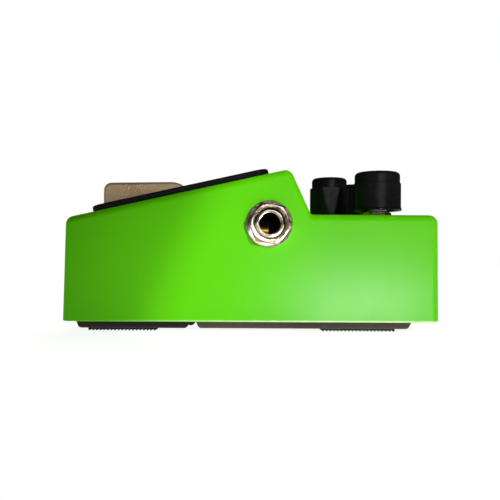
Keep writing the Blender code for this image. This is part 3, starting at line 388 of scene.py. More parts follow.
def black_moulding(name, tone=0.0045, rough=(0.42, 0.56), grain=3200, depth=0.012):
    """Spark-eroded plastic grain with faint rubbed patches."""
    s = Surface(name, Specular_IOR_Level=0.1)
    patch = s.spread(s.noise(60, 4.0), 0, 1)
    s.colour(s.blend(patch, (tone, tone, tone * 1.05), (tone * 1.6, tone * 1.6, tone * 1.7)))
    s.roughness(s.spread(s.noise(260, 5.0, 0.7), *rough))
    s.bump(s.noise(grain, 2.0, 0.6), depth * MM)
    return s.material


def blasted_nickel():
    """Nickel over a blasted casting: a warm satin with painted glints, small bright specks in its
    colour.
    """
    s = Surface("blasted_nickel", metallic=0.6)
    broad = s.spread(s.noise(90, 4.0), 0, 1)
    tone = s.blend(broad, (0.52, 0.345, 0.175), (0.71, 0.54, 0.335))
    # Small bright specks in the colour: painted glints, standing in for light caught by facets of the
    # blasting.
    facet = s.times(s.spread(s.cells(1500), 1, 0, 0.14, 0.34),
                    s.spread(s.noise(150, 4.0), 0, 1, 0.46, 0.60))
    s.colour(s.blend(facet, tone, (1.0, 0.93, 0.80)))
    s.roughness(s.spread(s.noise(1500, 3.0, 0.7), 0.32, 0.58))
    s.bump(s.noise(1700, 4.0, 0.75), 0.05 * MM)
    s.bump(s.cells(3400), 0.02 * MM)
    return s.material


def plated(name, tones, rough, fine_marks=0.0, tarnish=0.0):
    """Bright plate with hairline handling marks, and dull stains where it has tarnished."""
    s = Surface(name, metallic=1.0)
    bright = s.blend(s.spread(s.noise(240, 4.0), 0, 1), *tones)
    stain = s.spread(s.noise(520, 6.0, 0.75), 0, tarnish, 0.50, 0.66)
    s.colour(s.blend(stain, bright, (0.10, 0.072, 0.048)))
    s.roughness(s.spread(s.noise(900, 5.0, 0.7), *rough))
    s.bump(s.noise(700, 4.0, 0.7, stretch=(1.0, 6.0, 1.0)), 0.006 * MM)
    if fine_marks:
        s.bump(s.noise(5200, 2.0), fine_marks * MM)
    return s.material


def painted_sheet(name, dark, light, rubbed):
    """Dark paint on sheet steel, a little hammered, rubbed lighter on high spots."""
    s = Surface(name, Specular_IOR_Level=0.12)
    broad = s.spread(s.noise(45, 5.0), 0, 1)
    tone = s.blend(broad, dark, light)
    rub = s.spread(s.noise(900, 6.0, 0.8, stretch=(0.25, 1.0, 1.0)), 0, 1, 0.60, 0.74)
    s.colour(s.blend(rub, tone, rubbed))
    s.roughness(s.spread(s.noise(600, 4.0), 0.38, 0.60))
    s.bump(s.noise(850, 3.0), 0.02 * MM)
    return s.material


def ribbed_rubber():
    """Matte rubber with dust in its pores."""
    s = Surface("ribbed_rubber", Specular_IOR_Level=0.15)
    dust = s.spread(s.noise(1200, 6.0, 0.8), 0, 1, 0.55, 0.75)
    s.colour(s.blend(dust, (0.003, 0.003, 0.0035), (0.014, 0.013, 0.012)))
    s.roughness(s.spread(s.noise(500, 4.0), 0.72, 0.92))
    s.bump(s.noise(2600, 3.0), 0.02 * MM)
    return s.material


def coloured_plastic(name, first, second, rough=(0.35, 0.5), **fixed):
    s = Surface(name, **fixed)
    s.colour(s.blend(s.spread(s.noise(300, 4.0), 0, 1), first, second))
    s.roughness(s.spread(s.noise(700, 4.0), *rough))
    s.bump(s.noise(2400, 2.0), 0.005 * MM)
    return s.material


def circuit_laminate():
    """Green solder mask over faint copper runs."""
    s = Surface("circuit_laminate", Coat_Weight=0.3, Coat_Roughness=0.2)
    runs = s.spread(s.noise(220, 1.0, 0.3, stretch=(1.0, 0.12, 1.0)), 0, 1, 0.49, 0.52)
    s.colour(s.blend(runs, (0.012, 0.10, 0.035), (0.03, 0.19, 0.07)))
    s.roughness(s.spread(s.noise(900, 3.0), 0.3, 0.45))
    s.bump(runs, 0.03 * MM)
    return s.material


GREEN = green_enamel()
BLACK = black_moulding("black_moulding")
KNOB_BLACK = black_moulding("knob_moulding", 0.0042, (0.22, 0.34), 3800, 0.006)
SATIN = blasted_nickel()
NICKEL = plated("bright_nickel_plate", ((0.36, 0.29, 0.21), (0.60, 0.50, 0.38)), (0.09, 0.22),
                fine_marks=0.004, tarnish=0.75)
ZINC = plated("zinc_plate", ((0.42, 0.42, 0.41), (0.58, 0.58, 0.57)), (0.25, 0.45))
SPRING = plated("spring_wire", ((0.28, 0.28, 0.29), (0.42, 0.42, 0.43)), (0.2, 0.35))
GOLD = plated("gold_leaf", ((0.80, 0.42, 0.06), (0.98, 0.62, 0.14)), (0.38, 0.52))
BASE_PAINT = painted_sheet("base_paint", (0.044, 0.036, 0.024), (0.084, 0.071, 0.050),
                           (0.13, 0.12, 0.10))
# The battery door takes a darker copy of the base paint: painted shade, standing in for the front end
# lying outside the key lamp's light.
SHADED_DOOR_PAINT = painted_sheet("door_paint_painted_shade", (0.008, 0.005, 0.004), (0.018, 0.011, 0.009),
                           (0.06, 0.045, 0.036))
RUBBER = ribbed_rubber()
WHITE = coloured_plastic("white_inlay_plastic", (0.80, 0.80, 0.78), (0.88, 0.88, 0.86))
RED = coloured_plastic("red_lens_plastic", (0.50, 0.006, 0.006), (0.62, 0.012, 0.01), (0.06, 0.12),
                       Coat_Weight=0.5)
RED_WIRE = coloured_plastic("red_insulation", (0.45, 0.01, 0.01), (0.55, 0.02, 0.02))
BLACK_WIRE = coloured_plastic("black_insulation", (0.015, 0.015, 0.015), (0.025, 0.025, 0.025))
BLUE = coloured_plastic("blue_sleeve_plastic", (0.01, 0.04, 0.22), (0.02, 0.06, 0.30))
BOARD = circuit_laminate()
BATTERY = coloured_plastic("battery_sleeve_print", (0.03, 0.032, 0.04), (0.05, 0.052, 0.062),
                           (0.22, 0.34), Coat_Weight=0.4)


# ---------------------------------------------------------------- modelling helpers

def new_item(name, mesh):
    item = bpy.data.objects.new(name, mesh)
    bpy.context.scene.collection.objects.link(item)
    return item


def built_item(name, body):
    """Object with the mesh that was built, which is then freed."""
    mesh = bpy.data.meshes.new(name)
    body.to_mesh(mesh)
    body.free()
    return new_item(name, mesh)


def cube_item(name, low, high):
    low, high = Vector(low), Vector(high)
    cube = bmesh.new()
    bmesh.ops.create_cube(cube, size=1.0)
    bmesh.ops.scale(cube, vec=high - low, verts=cube.verts)
    bmesh.ops.translate(cube, vec=(low + high) / 2, verts=cube.verts)
    return built_item(name, cube)


def sided_item(name, side, low, high):
    """Cube given on the +X side of the middle, or its mirror image where side is -1."""
    xs = sorted((side * low[0], side * high[0]))
    return cube_item(name, (xs[0], low[1], low[2]), (xs[1], high[1], high[2]))


def bar_item(name, radius, start, end, steps=COARSE):
    """Round bar from start to end."""
    start, end = Vector(start), Vector(end)
    bar = bmesh.new()
    bmesh.ops.create_cone(bar, cap_ends=True, segments=steps, radius1=radius, radius2=radius,
                          depth=(end - start).length)
    turn = (end - start).to_track_quat("Z", "Y").to_matrix().to_4x4()
    bmesh.ops.transform(bar, matrix=Matrix.Translation((start + end) / 2) @ turn, verts=bar.verts)
    return built_item(name, bar)


def turned_item(name, profile, frame_matrix, closed=False, steps=FINE):
    """Profile of (radius, height) pairs, outer side downwards, turned about the frame's Z axis."""
    count = len(profile)
    edges = [(i, i + 1) for i in range(count - 1)]
    if closed:
        edges.append((count - 1, 0))
    mesh = bpy.data.meshes.new(name)
    mesh.from_pydata([(radius, 0.0, height) for radius, height in profile], edges, [])
    item = new_item(name, mesh)
    screw = item.modifiers.new("turn", "SCREW")
    screw.steps = screw.render_steps = steps
    screw.use_merge_vertices = True
    screw.merge_threshold = 0.00001
    freeze(item)
    item.data.transform(frame_matrix)
    return item


def evaluated_mesh(item):
    bpy.context.view_layer.update()
    depsgraph = bpy.context.evaluated_depsgraph_get()
    return bpy.data.meshes.new_from_object(item.evaluated_get(depsgraph))


def freeze(item):
    """Apply the modifiers."""
    mesh = evaluated_mesh(item)
    item.modifiers.clear()
    item.data = mesh
    return item


def curve_mesh(curve):
    guide = new_item("guide", curve)
    mesh = evaluated_mesh(guide)
    bpy.data.objects.remove(guide, do_unlink=True)
    return mesh


def extruded_item(name, outlines, thickness, frame_matrix):
    """Flat outline, with any holes, extruded along +Z of the given frame."""
    curve = bpy.data.curves.new(name, "CURVE")
    curve.dimensions = "2D"
    curve.fill_mode = "BOTH"
    curve.extrude = thickness / 2
    for outline in outlines:
        spline = curve.splines.new("POLY")
        spline.points.add(len(outline) - 1)
        for point, place in zip(spline.points, outline):
            point.co = (place[0], place[1], 0.0, 1.0)
        spline.use_cyclic_u = True
    body = bmesh.new()
    body.from_mesh(curve_mesh(curve))
    bmesh.ops.remove_doubles(body, verts=body.verts, dist=0.000001)
    if len(outlines) == 1:
        bmesh.ops.dissolve_limit(body, angle_limit=math.radians(0.3), verts=body.verts,
                                 edges=body.edges)
    bmesh.ops.transform(body, matrix=frame_matrix @ Matrix.Translation((0, 0, thickness / 2)),
                        verts=body.verts)
    return built_item(name, body)


def wire_item(name, route, radius):
    """Round wire on a smooth curve through its points."""
    curve = bpy.data.curves.new(name, "CURVE")
    curve.dimensions = "3D"
    curve.bevel_depth = radius
    curve.bevel_resolution = 4
    curve.use_fill_caps = True
    curve.resolution_u = 8
    spline = curve.splines.new("BEZIER")
    spline.bezier_points.add(len(route) - 1)
    for point, place in zip(spline.bezier_points, route):
        point.co = place
        point.handle_left_type = point.handle_right_type = "AUTO"
    return new_item(name, curve_mesh(curve))


def combine(item, others, operation):
    """Apply one Boolean after another and drop the helpers."""
    for other in others:
        boolean = item.modifiers.new(other.name, "BOOLEAN")
        boolean.operation = operation
        boolean.solver = "EXACT"
        boolean.object = other
        freeze(item)
        bpy.data.objects.remove(other, do_unlink=True)
    return item


def cut(item, cutters):
    return combine(item, cutters, "DIFFERENCE")


def join(item, others):
    return combine(item, others, "UNION")


def bevel(item, width, segments=3, angle=50):
    edge = item.modifiers.new("rounded edges", "BEVEL")
    edge.use_clamp_overlap = False
    edge.width = width
    edge.segments = segments
    edge.limit_method = "ANGLE"
    edge.angle_limit = math.radians(angle)
    return freeze(item)


def clean(item):
    """Close up the hair-thin slivers that cutting leaves."""
    body = bmesh.new()
    body.from_mesh(item.data)
    bmesh.ops.remove_doubles(body, verts=body.verts, dist=SLIVER)
    bmesh.ops.dissolve_degenerate(body, edges=body.edges, dist=SLIVER)
    body.to_mesh(item.data)
    body.free()


def finish_piece(item, material, body, nodes, sharp=35):
    """Shade a piece, give it its material, and tie it to the frame."""
    clean(item)
    item.data.materials.clear()
    item.data.materials.append(material)
    item.data.shade_smooth()
    item.data.set_sharp_from_angle(angle=math.radians(sharp))
    weighted = item.modifiers.new("even shading", "WEIGHTED_NORMAL")
    weighted.keep_sharp = True
    weighted.weight = 90
    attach(item, body)
    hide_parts(*nodes)


# ---------------------------------------------------------------- outlines

def polygon(radius, steps):
    """Regular polygon with its corners at the radius."""
    return [(radius * math.cos(2 * math.pi * i / steps), radius * math.sin(2 * math.pi * i / steps))
            for i in range(steps)]


def arc_points(centre, reach, degrees):
    """Points of a turned profile on an arc, by degrees from straight above its centre."""
    return [(centre[0] + reach[0] * math.sin(a), centre[1] + reach[1] * math.cos(a))
            for a in map(math.radians, degrees)]


def rounded(corners, segments=8):
    """Outline with each (point, radius) corner turned into an arc."""
    outline = []
    count = len(corners)
    for index, (point, radius) in enumerate(corners):
        if radius == 0:
            outline.append(tuple(point))
            continue
        before = (corners[index - 1][0] - point).normalized()
        after = (corners[(index + 1) % count][0] - point).normalized()
        half = before.angle(after) / 2
        centre = point + (before + after).normalized() * radius / math.sin(half)
        first = point + before * radius / math.tan(half) - centre
        sweep = first.angle_signed(point + after * radius / math.tan(half) - centre)
        for step in range(segments + 1):
            outline.append(tuple(centre + Matrix.Rotation(-sweep * step / segments, 2) @ first))
    return outline


def rectangle(half_width, span, radius, segments=6):
    corners = [(-half_width, span[0]), (half_width, span[0]),
               (half_width, span[1]), (-half_width, span[1])]
    return rounded([(Vector(corner), radius) for corner in corners], segments)


def inset(corners, distance):
    """Move each side of an anticlockwise outline inwards and meet them again."""
    moved = []
    count = len(corners)
    for index, point in enumerate(corners):
        before = (point - corners[index - 1]).normalized()
        after = (corners[(index + 1) % count] - point).normalized()
        normal = Vector((-before.y, before.x))
        bisector = (normal + Vector((-after.y, after.x))).normalized()
        moved.append(point + bisector * distance / bisector.dot(normal))
    return moved


def side_frame(x):
    """Frame whose outline plane is YZ and whose extrusion runs along +X from x."""
    axes = Matrix(((0, 0, 1), (1, 0, 0), (0, 1, 0))).to_4x4()
    return Matrix.Translation((x, 0, 0)) @ axes


def upright_frame(x, y, z=0.0):
    return Matrix.Translation((x, y, z))


def slope_z(y):
    """Height of the sloping top over y."""
    return FRONT_TOP.y + (y - FRONT_TOP.x) * math.tan(SLOPE_ANGLE)


def slope_frame(y, lift):
    """Frame that lies on the sloping top over y, lifted square to it."""
    tilt = Matrix.Rotation(SLOPE_ANGLE, 4, "X")
    return Matrix.Translation((0, y, slope_z(y))) @ tilt @ Matrix.Translation((0, 0, lift))


def jack_frame(side):
    """Z runs out of the side wall along the jack's axis."""
    return Matrix.Translation((0, JACK_Y, JACK_Z)) @ Matrix.Rotation(side * math.pi / 2, 4, "Y")


def inlet_frame():
    """Z runs out of the rear wall along the inlet's axis."""
    return Matrix.Translation((0, 0, INLET_Z)) @ Matrix.Rotation(-math.pi / 2, 4, "X")


# ---------------------------------------------------------------- housing

def housing_blank():
    """Corners of the side outline, with the end walls run on below the rim."""
    corners = [Vector((-HALF_LENGTH, RIM_Z)), Vector((HALF_LENGTH, RIM_Z)),
               DECK_REAR, DECK_FRONT, PEAK, FRONT_TOP]
    corners[0] += (corners[0] - FRONT_TOP) * BLANK_EXTRA
    corners[1] += (corners[1] - DECK_REAR) * BLANK_EXTRA
    return corners


def housing_posts():
    """Screw posts under the deck and slope, and the lugs that hold the hinge pin."""
    inner = HALF_WIDTH - WALL / 2
    spans = [
        ((24.0 * MM, -16.0 * MM, POST_Z), (inner, -8.0 * MM, 46.5 * MM)),
        ((27.6 * MM, 53.6 * MM, POST_Z), (inner, 60.8 * MM, DECK_Z - WALL / 2)),
        ((28.0 * MM, -42.0 * MM, 31.0 * MM), (inner, -34.0 * MM, slope_z(-42.0 * MM) - WALL / 2)),
        ((LUG_X[0], -21.2 * MM, 39.2 * MM), (LUG_X[1], -16.0 * MM, 45.9 * MM)),
    ]
    return [sided_item("post", side, low, high) for side in (1, -1) for low, high in spans]


def make_housing():
    blank = housing_blank()
    radii = (0, 0, CORNER_RADIUS, STEP_RADIUS, CORNER_RADIUS, CORNER_RADIUS)
    housing = extruded_item("housing_shell", [rounded(list(zip(blank, radii)), 12)], 2 * HALF_WIDTH,
                            side_frame(-HALF_WIDTH))
    bevel(housing, SIDE_EDGE_RADIUS, 8)
    far = 2 * HALF_LENGTH
    inner = HALF_WIDTH - WALL
    trim = cube_item("trim", (-far, -far, -far), (far, far, RIM_Z))
    hollow = extruded_item("hollow", [rounded([(c, 0) for c in inset(blank, WALL)])], 2 * inner,
                           side_frame(-inner))
    cut(housing, [trim, hollow])
    bevel(housing, RIM_ROUNDING, 3, 60)
    join(housing, housing_posts())
    openings = [extruded_item("window", [rectangle(WINDOW_HALF_WIDTH, WINDOW_Y, 1.5 * MM)], 20 * MM,
                              upright_frame(0, 0, 36 * MM))]
    openings.append(bar_item("jack_hole", JACK_THREAD + 0.3 * MM, (-HALF_WIDTH - MM, JACK_Y, JACK_Z),
                             (HALF_WIDTH + MM, JACK_Y, JACK_Z), FINE))
    for name in KNOBS:
        x, y = knob_place(name)
        openings.append(bar_item("pot_hole", BUSHING_RADIUS + 0.3 * MM, (x, y, DECK_Z - 2 * WALL),
                                 (x, y, DECK_Z + MM)))
    openings.append(bar_item("led_hole", 3.5 * MM, (0, LED_Y, DECK_Z - 2 * WALL),
                             (0, LED_Y, DECK_Z + MM)))
    openings.append(bar_item("inlet_hole", INLET_RADIUS + 0.2 * MM,
                             (0, HALF_LENGTH - 2 * WALL, INLET_Z),
                             (0, HALF_LENGTH + MM, INLET_Z), FINE))
    cut(housing, openings)
    finish_piece(housing, GREEN, "pedal_body", ["housing"], 30)


# ---------------------------------------------------------------- bezel and treadle

def make_bezel():
    run = 1 / math.cos(SLOPE_ANGLE)
    middle = sum(BEZEL_Y) / 2
    half_run = (BEZEL_Y[1] - BEZEL_Y[0]) / 2 * run
    span = ((WINDOW_Y[0] - middle) * run + SLOT_FRONT_LIP,
            (WINDOW_Y[1] - middle) * run + SLOT_REAR_GAP)
    plate = extruded_item("bezel", [rectangle(BEZEL_HALF_WIDTH, (-half_run, half_run), 4 * MM, 10)],
                          BEZEL_THICKNESS, slope_frame(middle, CONTACT))
    bevel(plate, 0.7 * MM, 4)
    slot = extruded_item("slot", [rectangle(WINDOW_HALF_WIDTH - SLOT_SIDE_LIP, span, 1.0 * MM)],
                         4 * BEZEL_THICKNESS, slope_frame(middle, -BEZEL_THICKNESS))
    cut(plate, [slot])
    finish_piece(plate, BLACK, "pedal_body", ["bezel_plate"])


def make_treadle():
    front, rear = TREADLE_Y
    corners = [Vector((front, TREADLE_SKIRT_Z)), Vector((rear, TREADLE_SKIRT_Z)),
               Vector((rear, TREADLE_REAR_Z)), TREADLE_BROW, Vector((front, TREADLE_FRONT_Z))]
    outline = rounded(list(zip(corners, TREADLE_RADII)), 14)
    pad = extruded_item("treadle_pad", [outline], 2 * TREADLE_HALF_WIDTH,
                        side_frame(-TREADLE_HALF_WIDTH))
    bevel(pad, TREADLE_EDGE, 5)
    inside = inset(corners, TREADLE_WALL)
    inside[0].y -= 2 * TREADLE_WALL
    inside[1].y -= 2 * TREADLE_WALL
    half = TREADLE_HALF_WIDTH - TREADLE_WALL
    hollow = extruded_item("hollow", [rounded(list(zip(inside, TREADLE_HOLLOW_RADII)))], 2 * half,
                           side_frame(-half))
    cut(pad, [hollow])
    roof = TREADLE_FRONT_Z - TREADLE_WALL / 2
    extras = [bar_item("pusher", PUSHER_RADIUS, (0, SWITCH_Y, 43.9 * MM), (0, SWITCH_Y, roof))]
    for side in (1, -1):
        extras.append(bar_item("seat", SPRING_SEAT_RADIUS, (side * SPRING_X, SWITCH_Y, 46 * MM),
                               (side * SPRING_X, SWITCH_Y, roof)))
        ear = sided_item("ear", side, (EAR_X[0], rear - TREADLE_WALL / 2, 38.9 * MM),
                         (EAR_X[1], -15.9 * MM, 43.6 * MM))
        extras.append(bevel(ear, 1.2 * MM, 4))
    join(pad, extras)
    reach = 25 * MM
    cut(pad, [bar_item("pin_bore", PIN_RADIUS + 0.15 * MM, (-reach, *PIN_CENTRE),
                       (reach, *PIN_CENTRE))])
    join(pad, grip_ridges())
    finish_piece(pad, SATIN, "treadle_body", ["treadle"], 32)


def grip_ridges():
    """Low round ridges across the front of the pad's top."""
    ridges = []
    reach = TREADLE_HALF_WIDTH - 3.2 * MM
    for i in range(RIDGE_COUNT):
        y = -47.2 * MM + i * RIDGE_PITCH
        share = (y - TREADLE_Y[0]) / (TREADLE_BROW.x - TREADLE_Y[0])
        z = TREADLE_FRONT_Z + (TREADLE_BROW.y - TREADLE_FRONT_Z) * share - 0.25 * MM
        ridges.append(bar_item("ridge", RIDGE_RADIUS, (-reach, y, z), (reach, y, z), 16))
    return ridges


# ---------------------------------------------------------------- knobs, nuts and lamp

def knob_place(name):
    low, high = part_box(name + "_knob")
    return (low.x + high.x) / 2, (low.y + high.y) / 2


def knob_lengths(size):
    """Radii of the cap and the skirt, then heights of the bottom, the step and the top."""
    return (size["cap"] * MM, size["skirt"] * MM,
            *(DECK_Z + size[key] * MM for key in ("bottom", "step", "top")))


def knob_profile(cap, skirt, bottom, step, top):
    arc = arc_points((cap - KNOB_EDGE, top - KNOB_EDGE), (KNOB_EDGE, KNOB_EDGE), range(0, 91, 15))
    flare = 0.3 * MM
    ceiling = DECK_Z + 5.6 * MM
    return [(0, top - 0.12 * MM), (cap * 0.55, top - 0.08 * MM)] + arc + [
        (cap, step + 0.15 * MM), (cap + 0.08 * MM, step), (skirt - 0.15 * MM, step - 0.05 * MM),
        (skirt, step - 0.3 * MM), (skirt, bottom + 1.3 * MM), (skirt + 0.6 * flare, bottom + 0.7 * MM),
        (skirt + flare, bottom + 0.35 * MM), (skirt + flare - 0.1 * MM, bottom),
        (KNOB_RECESS + 0.15 * MM, bottom), (KNOB_RECESS, bottom + 0.15 * MM),
        (KNOB_RECESS, ceiling), (KNOB_BORE, ceiling), (KNOB_BORE, top - 3.2 * MM), (0, top - 3.2 * MM)]


def facet_cutters(x, y, size):
    """Slanted flats round the skirt, widest at the step and running out near the bottom.

    Each is kept outside a guard ring, so that it leaves the cap round.
    """
    cap, skirt, bottom, step, _ = knob_lengths(size)
    run = (step - bottom) * FACET_REACH
    lean = Matrix.Rotation(-math.atan2(FACET_DEPTH, run), 4, "Y")
    inner, outer, above = cap + 0.09 * MM, skirt + 2 * MM, step + 2 * MM
    cutters = []
    for i in range(size["facets"]):
        block = cube_item("facet", (0, -8 * MM, -run), (6 * MM, 8 * MM, 4 * MM))
        turn = Matrix.Rotation(2 * math.pi * i / size["facets"] + FACET_TURN, 4, "Z")
        block.data.transform(Matrix.Translation((x, y, step)) @ turn
                             @ Matrix.Translation((skirt - FACET_DEPTH, 0, 0)) @ lean)
        ring = turned_item("ring", [(inner, above), (outer, above), (outer, DECK_Z), (inner, DECK_Z)],
                           upright_frame(x, y), closed=True)
        cutters.append(combine(block, [ring], "INTERSECT"))
    return cutters


def make_knob(name, size):
    x, y = knob_place(name)
    lengths = knob_lengths(size)
    cap, top = lengths[0], lengths[-1]
    knob = turned_item(name + "_knob_cap", knob_profile(*lengths), upright_frame(x, y))
    reach = cap - 1.4 * MM
    groove = cube_item("groove", (x - 0.45 * MM, y + cap - reach - 0.1 * MM, top - 0.45 * MM),
                       (x + 0.45 * MM, y + cap + MM, top + MM))
    cutters = [groove] + facet_cutters(x, y, size)
    cut(knob, cutters)
    finish_piece(knob, KNOB_BLACK, name + "_control", [name + "_knob"], 32)
    line = cube_item(name + "_line", (x - 0.43 * MM, y + cap - reach, top - 0.44 * MM),
                     (x + 0.43 * MM, y + cap - 0.5 * MM, top - 0.06 * MM))
    bevel(line, 0.06 * MM, 2)
    finish_piece(line, WHITE, name + "_control", [name + "_pointer"])


def hex_nut(name, flats, hole, height, frame_matrix):
    """Hexagon with both faces chamfered, as a nut is turned."""
    corner = flats / math.sqrt(3)
    nut = extruded_item(name, [polygon(corner, 6)], height, frame_matrix)
    lip = 0.16 * height
    above = height + MM
    cone = turned_item("cone", [(0, above), (flats * 0.47, above), (flats * 0.47, height),
                                (corner + 0.3 * MM, height - 2.2 * lip), (corner + 0.3 * MM, lip),
                                (flats * 0.49, 0), (0, 0)], frame_matrix)
    combine(nut, [cone], "INTERSECT")
    bore = turned_item("bore", [(0, above), (hole + 1.5 * MM, above), (hole, height - 0.35 * MM),
                                (hole, -MM), (0, -MM)], frame_matrix)
    return cut(nut, [bore])


def make_pot_nut(name):
    x, y = knob_place(name)
    nut = hex_nut(name + "_hex_nut", POT_NUT_FLATS, BUSHING_RADIUS + 0.05 * MM, POT_NUT_HEIGHT,
                  upright_frame(x, y, DECK_Z + CONTACT) @ Matrix.Rotation(POT_NUT_TURN, 4, "Z"))
    finish_piece(nut, NICKEL, "pedal_body", [name + "_nut"])


def make_lamp():
    """Round-nosed diode in a plated clip."""
    top = DECK_Z + 1.6 * MM
    base = DECK_Z + 0.4 * MM
    inner = 2.45 * MM
    outer = 4.0 * MM
    low = DECK_Z - WALL - MM
    brow = inner + 0.25 * MM
    arc = arc_points((brow, base), (outer - brow, top - base), range(0, 91, 10))
    ring = [(inner, top - 0.2 * MM), (inner + 0.1 * MM, top - 0.04 * MM)] + arc + [
        (outer, DECK_Z + CONTACT), (3.2 * MM, DECK_Z + CONTACT), (3.2 * MM, low), (inner, low)]
    holder = turned_item("lamp_clip", ring, upright_frame(0, LED_Y), closed=True)
    finish_piece(holder, NICKEL, "pedal_body", ["led_holder"])
    radius = 2.4 * MM
    dome = arc_points((0, base), (radius, radius), range(0, 91, 6))
    lens = turned_item("lamp_lens", dome + [(radius, low - MM), (0, low - MM)],
                       upright_frame(0, LED_Y))
    finish_piece(lens, RED, "pedal_body", ["led"])


# ---------------------------------------------------------------- jacks and power inlet

def make_jack(name, side):
    out = jack_frame(side)
    wall = HALF_WIDTH
    washer_top = wall + JACK_WASHER_THICKNESS
    hole = JACK_THREAD + 0.1 * MM
    edge = 0.15 * MM
    washer = turned_item(name + "_washer", [
        (hole, washer_top), (JACK_WASHER_RADIUS - edge, washer_top),
        (JACK_WASHER_RADIUS, washer_top - edge), (JACK_WASHER_RADIUS, wall + CONTACT),
        (hole, wall + CONTACT)], out, closed=True)
    finish_piece(washer, NICKEL, "pedal_body", [name + "_jack_washer"])
    nut = hex_nut(name + "_hex_nut", JACK_NUT_FLATS, hole, JACK_NUT_HEIGHT,
                  out @ Matrix.Rotation(JACK_NUT_TURN, 4, "Z")
                  @ Matrix.Translation((0, 0, washer_top + CONTACT)))
    finish_piece(nut, NICKEL, "pedal_body", [name + "_jack_nut"])
    end = JACK_END_X
    lip = 3.95 * MM
    ledge = end - 0.7 * MM
    inner_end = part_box(name + "_jack_bushing")[0 if side > 0 else 1].x * side
    thread = []
    pitch = 0.79 * MM
    z = ledge - 0.2 * MM
    while z > wall - 2 * MM:
        thread += [(JACK_THREAD, z), (JACK_THREAD - 0.35 * MM, z - pitch / 2)]
        z -= pitch
    bushing = turned_item(name + "_bushing", [
        (JACK_BORE, end - 0.35 * MM), (JACK_BORE + 0.1 * MM, end - 0.1 * MM),
        (JACK_BORE + 0.3 * MM, end), (lip - edge, end), (lip, end - edge), (lip + 0.05 * MM, ledge),
        (JACK_THREAD - 0.3 * MM, ledge)] + thread + [
        (JACK_THREAD, z), (JACK_THREAD, inner_end), (JACK_BORE, inner_end)], out, closed=True)
    finish_piece(bushing, NICKEL, "pedal_body", [name + "_jack_bushing"])


def make_tip_contact(name, side):
    """Gilt leaf that rises into the bore and curls over at its nose."""
    nose, curl, leaf = Vector((22.4, -1.9)) * MM, 1.6 * MM, 0.35 * MM
    arc = [math.radians(a) for a in range(108, -41, -12)]
    path = [Vector((10.5, -4.6)) * MM, Vector((16.0, -3.2)) * MM]
    path += [nose + Vector((math.cos(a), math.sin(a))) * curl for a in arc]
    back = [nose + Vector((math.cos(a), math.sin(a))) * (curl - leaf) for a in reversed(arc)]
    back += [Vector(place) * MM - Vector((0, leaf)) for place in ((16.1, -3.2), (10.5, -4.6))]
    outline = [(side * x, z) for x, z in path + back]
    middle = Matrix.Translation((0, JACK_Y + 0.2 * MM, JACK_Z))
    contact = extruded_item(name + "_contact", [outline], 2.8 * MM,
                            middle @ Matrix.Rotation(math.pi / 2, 4, "X"))
    bevel(contact, 0.12 * MM, 2)
    finish_piece(contact, GOLD, "pedal_body", [name + "_tip_contact"])


def make_inlet():
    """Boxed socket with a round collar that fills the hole in the rear wall, and its pin."""
    out = inlet_frame()
    face = HALF_LENGTH - 0.4 * MM
    floor = face - INLET_BORE_DEPTH
    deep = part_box("power_inlet")[0].y
    inner_wall = HALF_LENGTH - WALL - 0.6 * MM
    edge = 0.25 * MM
    case = cube_item("inlet_socket", (-7 * MM, deep, INLET_Z - 5.5 * MM),
                     (7 * MM, inner_wall, INLET_Z + 5.5 * MM))
    bevel(case, 0.4 * MM, 2)
    hollow = turned_item("hollow", [(0, face), (INLET_BORE, face), (INLET_BORE, floor), (0, floor)],
                         out)
    collar = turned_item("collar", [
        (0, face), (INLET_RADIUS - edge, face), (INLET_RADIUS, face - edge),
        (INLET_RADIUS, inner_wall - MM), (0, inner_wall - MM)], out)
    join(case, [collar])
    cut(case, [hollow])
    finish_piece(case, BLACK, "pedal_body", ["power_inlet"])
    tip = face - 1.2 * MM
    foot = face - 9.2 * MM
    pin = turned_item("inlet_pin", [(0, tip), (0.5 * MM, tip - 0.08 * MM), (0.9 * MM, tip - 0.4 * MM),
                                    (MM, tip - 0.8 * MM), (MM, foot), (0, foot)], out, steps=COARSE)
    finish_piece(pin, NICKEL, "pedal_body", ["power_inlet_pin"])


# ---------------------------------------------------------------- covers, screws and feet

def pan_item(name, flange_y, floor_y):
    """Pressed pan of one sheet with rounded bends."""
    spread = 1.6 * MM
    head_y = (max(floor_y[0] - spread, flange_y[0]), min(floor_y[1] + spread, flange_y[1]))
    rings = []
    low = bmesh.new()
    for span, half, z in ((flange_y, FLANGE_HALF_WIDTH, FLANGE_Z),
                          (head_y, PAN_HALF_WIDTH + spread, FLANGE_Z),
                          (floor_y, PAN_HALF_WIDTH, PAN_FLOOR_Z)):
        rings.append([low.verts.new((x, y, z)) for x, y in
                      ((-half, span[0]), (half, span[0]), (half, span[1]), (-half, span[1]))])
    for outer, inner in zip(rings, rings[1:]):
        for i in range(4):
            j = (i + 1) % 4
            if not outer[i].co.y == outer[j].co.y == inner[i].co.y:
                low.faces.new((outer[i], outer[j], inner[j], inner[i]))
    low.faces.new(rings[-1])
    bmesh.ops.recalc_face_normals(low, faces=low.faces)
    item = built_item(name, low)
    if item.data.polygons[-1].normal.z < 0:
        item.data.flip_normals()
    bevel(item, 0.9 * MM, 4, 20)
    sheet = item.modifiers.new("sheet", "SOLIDIFY")
    sheet.thickness = SHEET
    sheet.offset = 1.0
    return freeze(item)


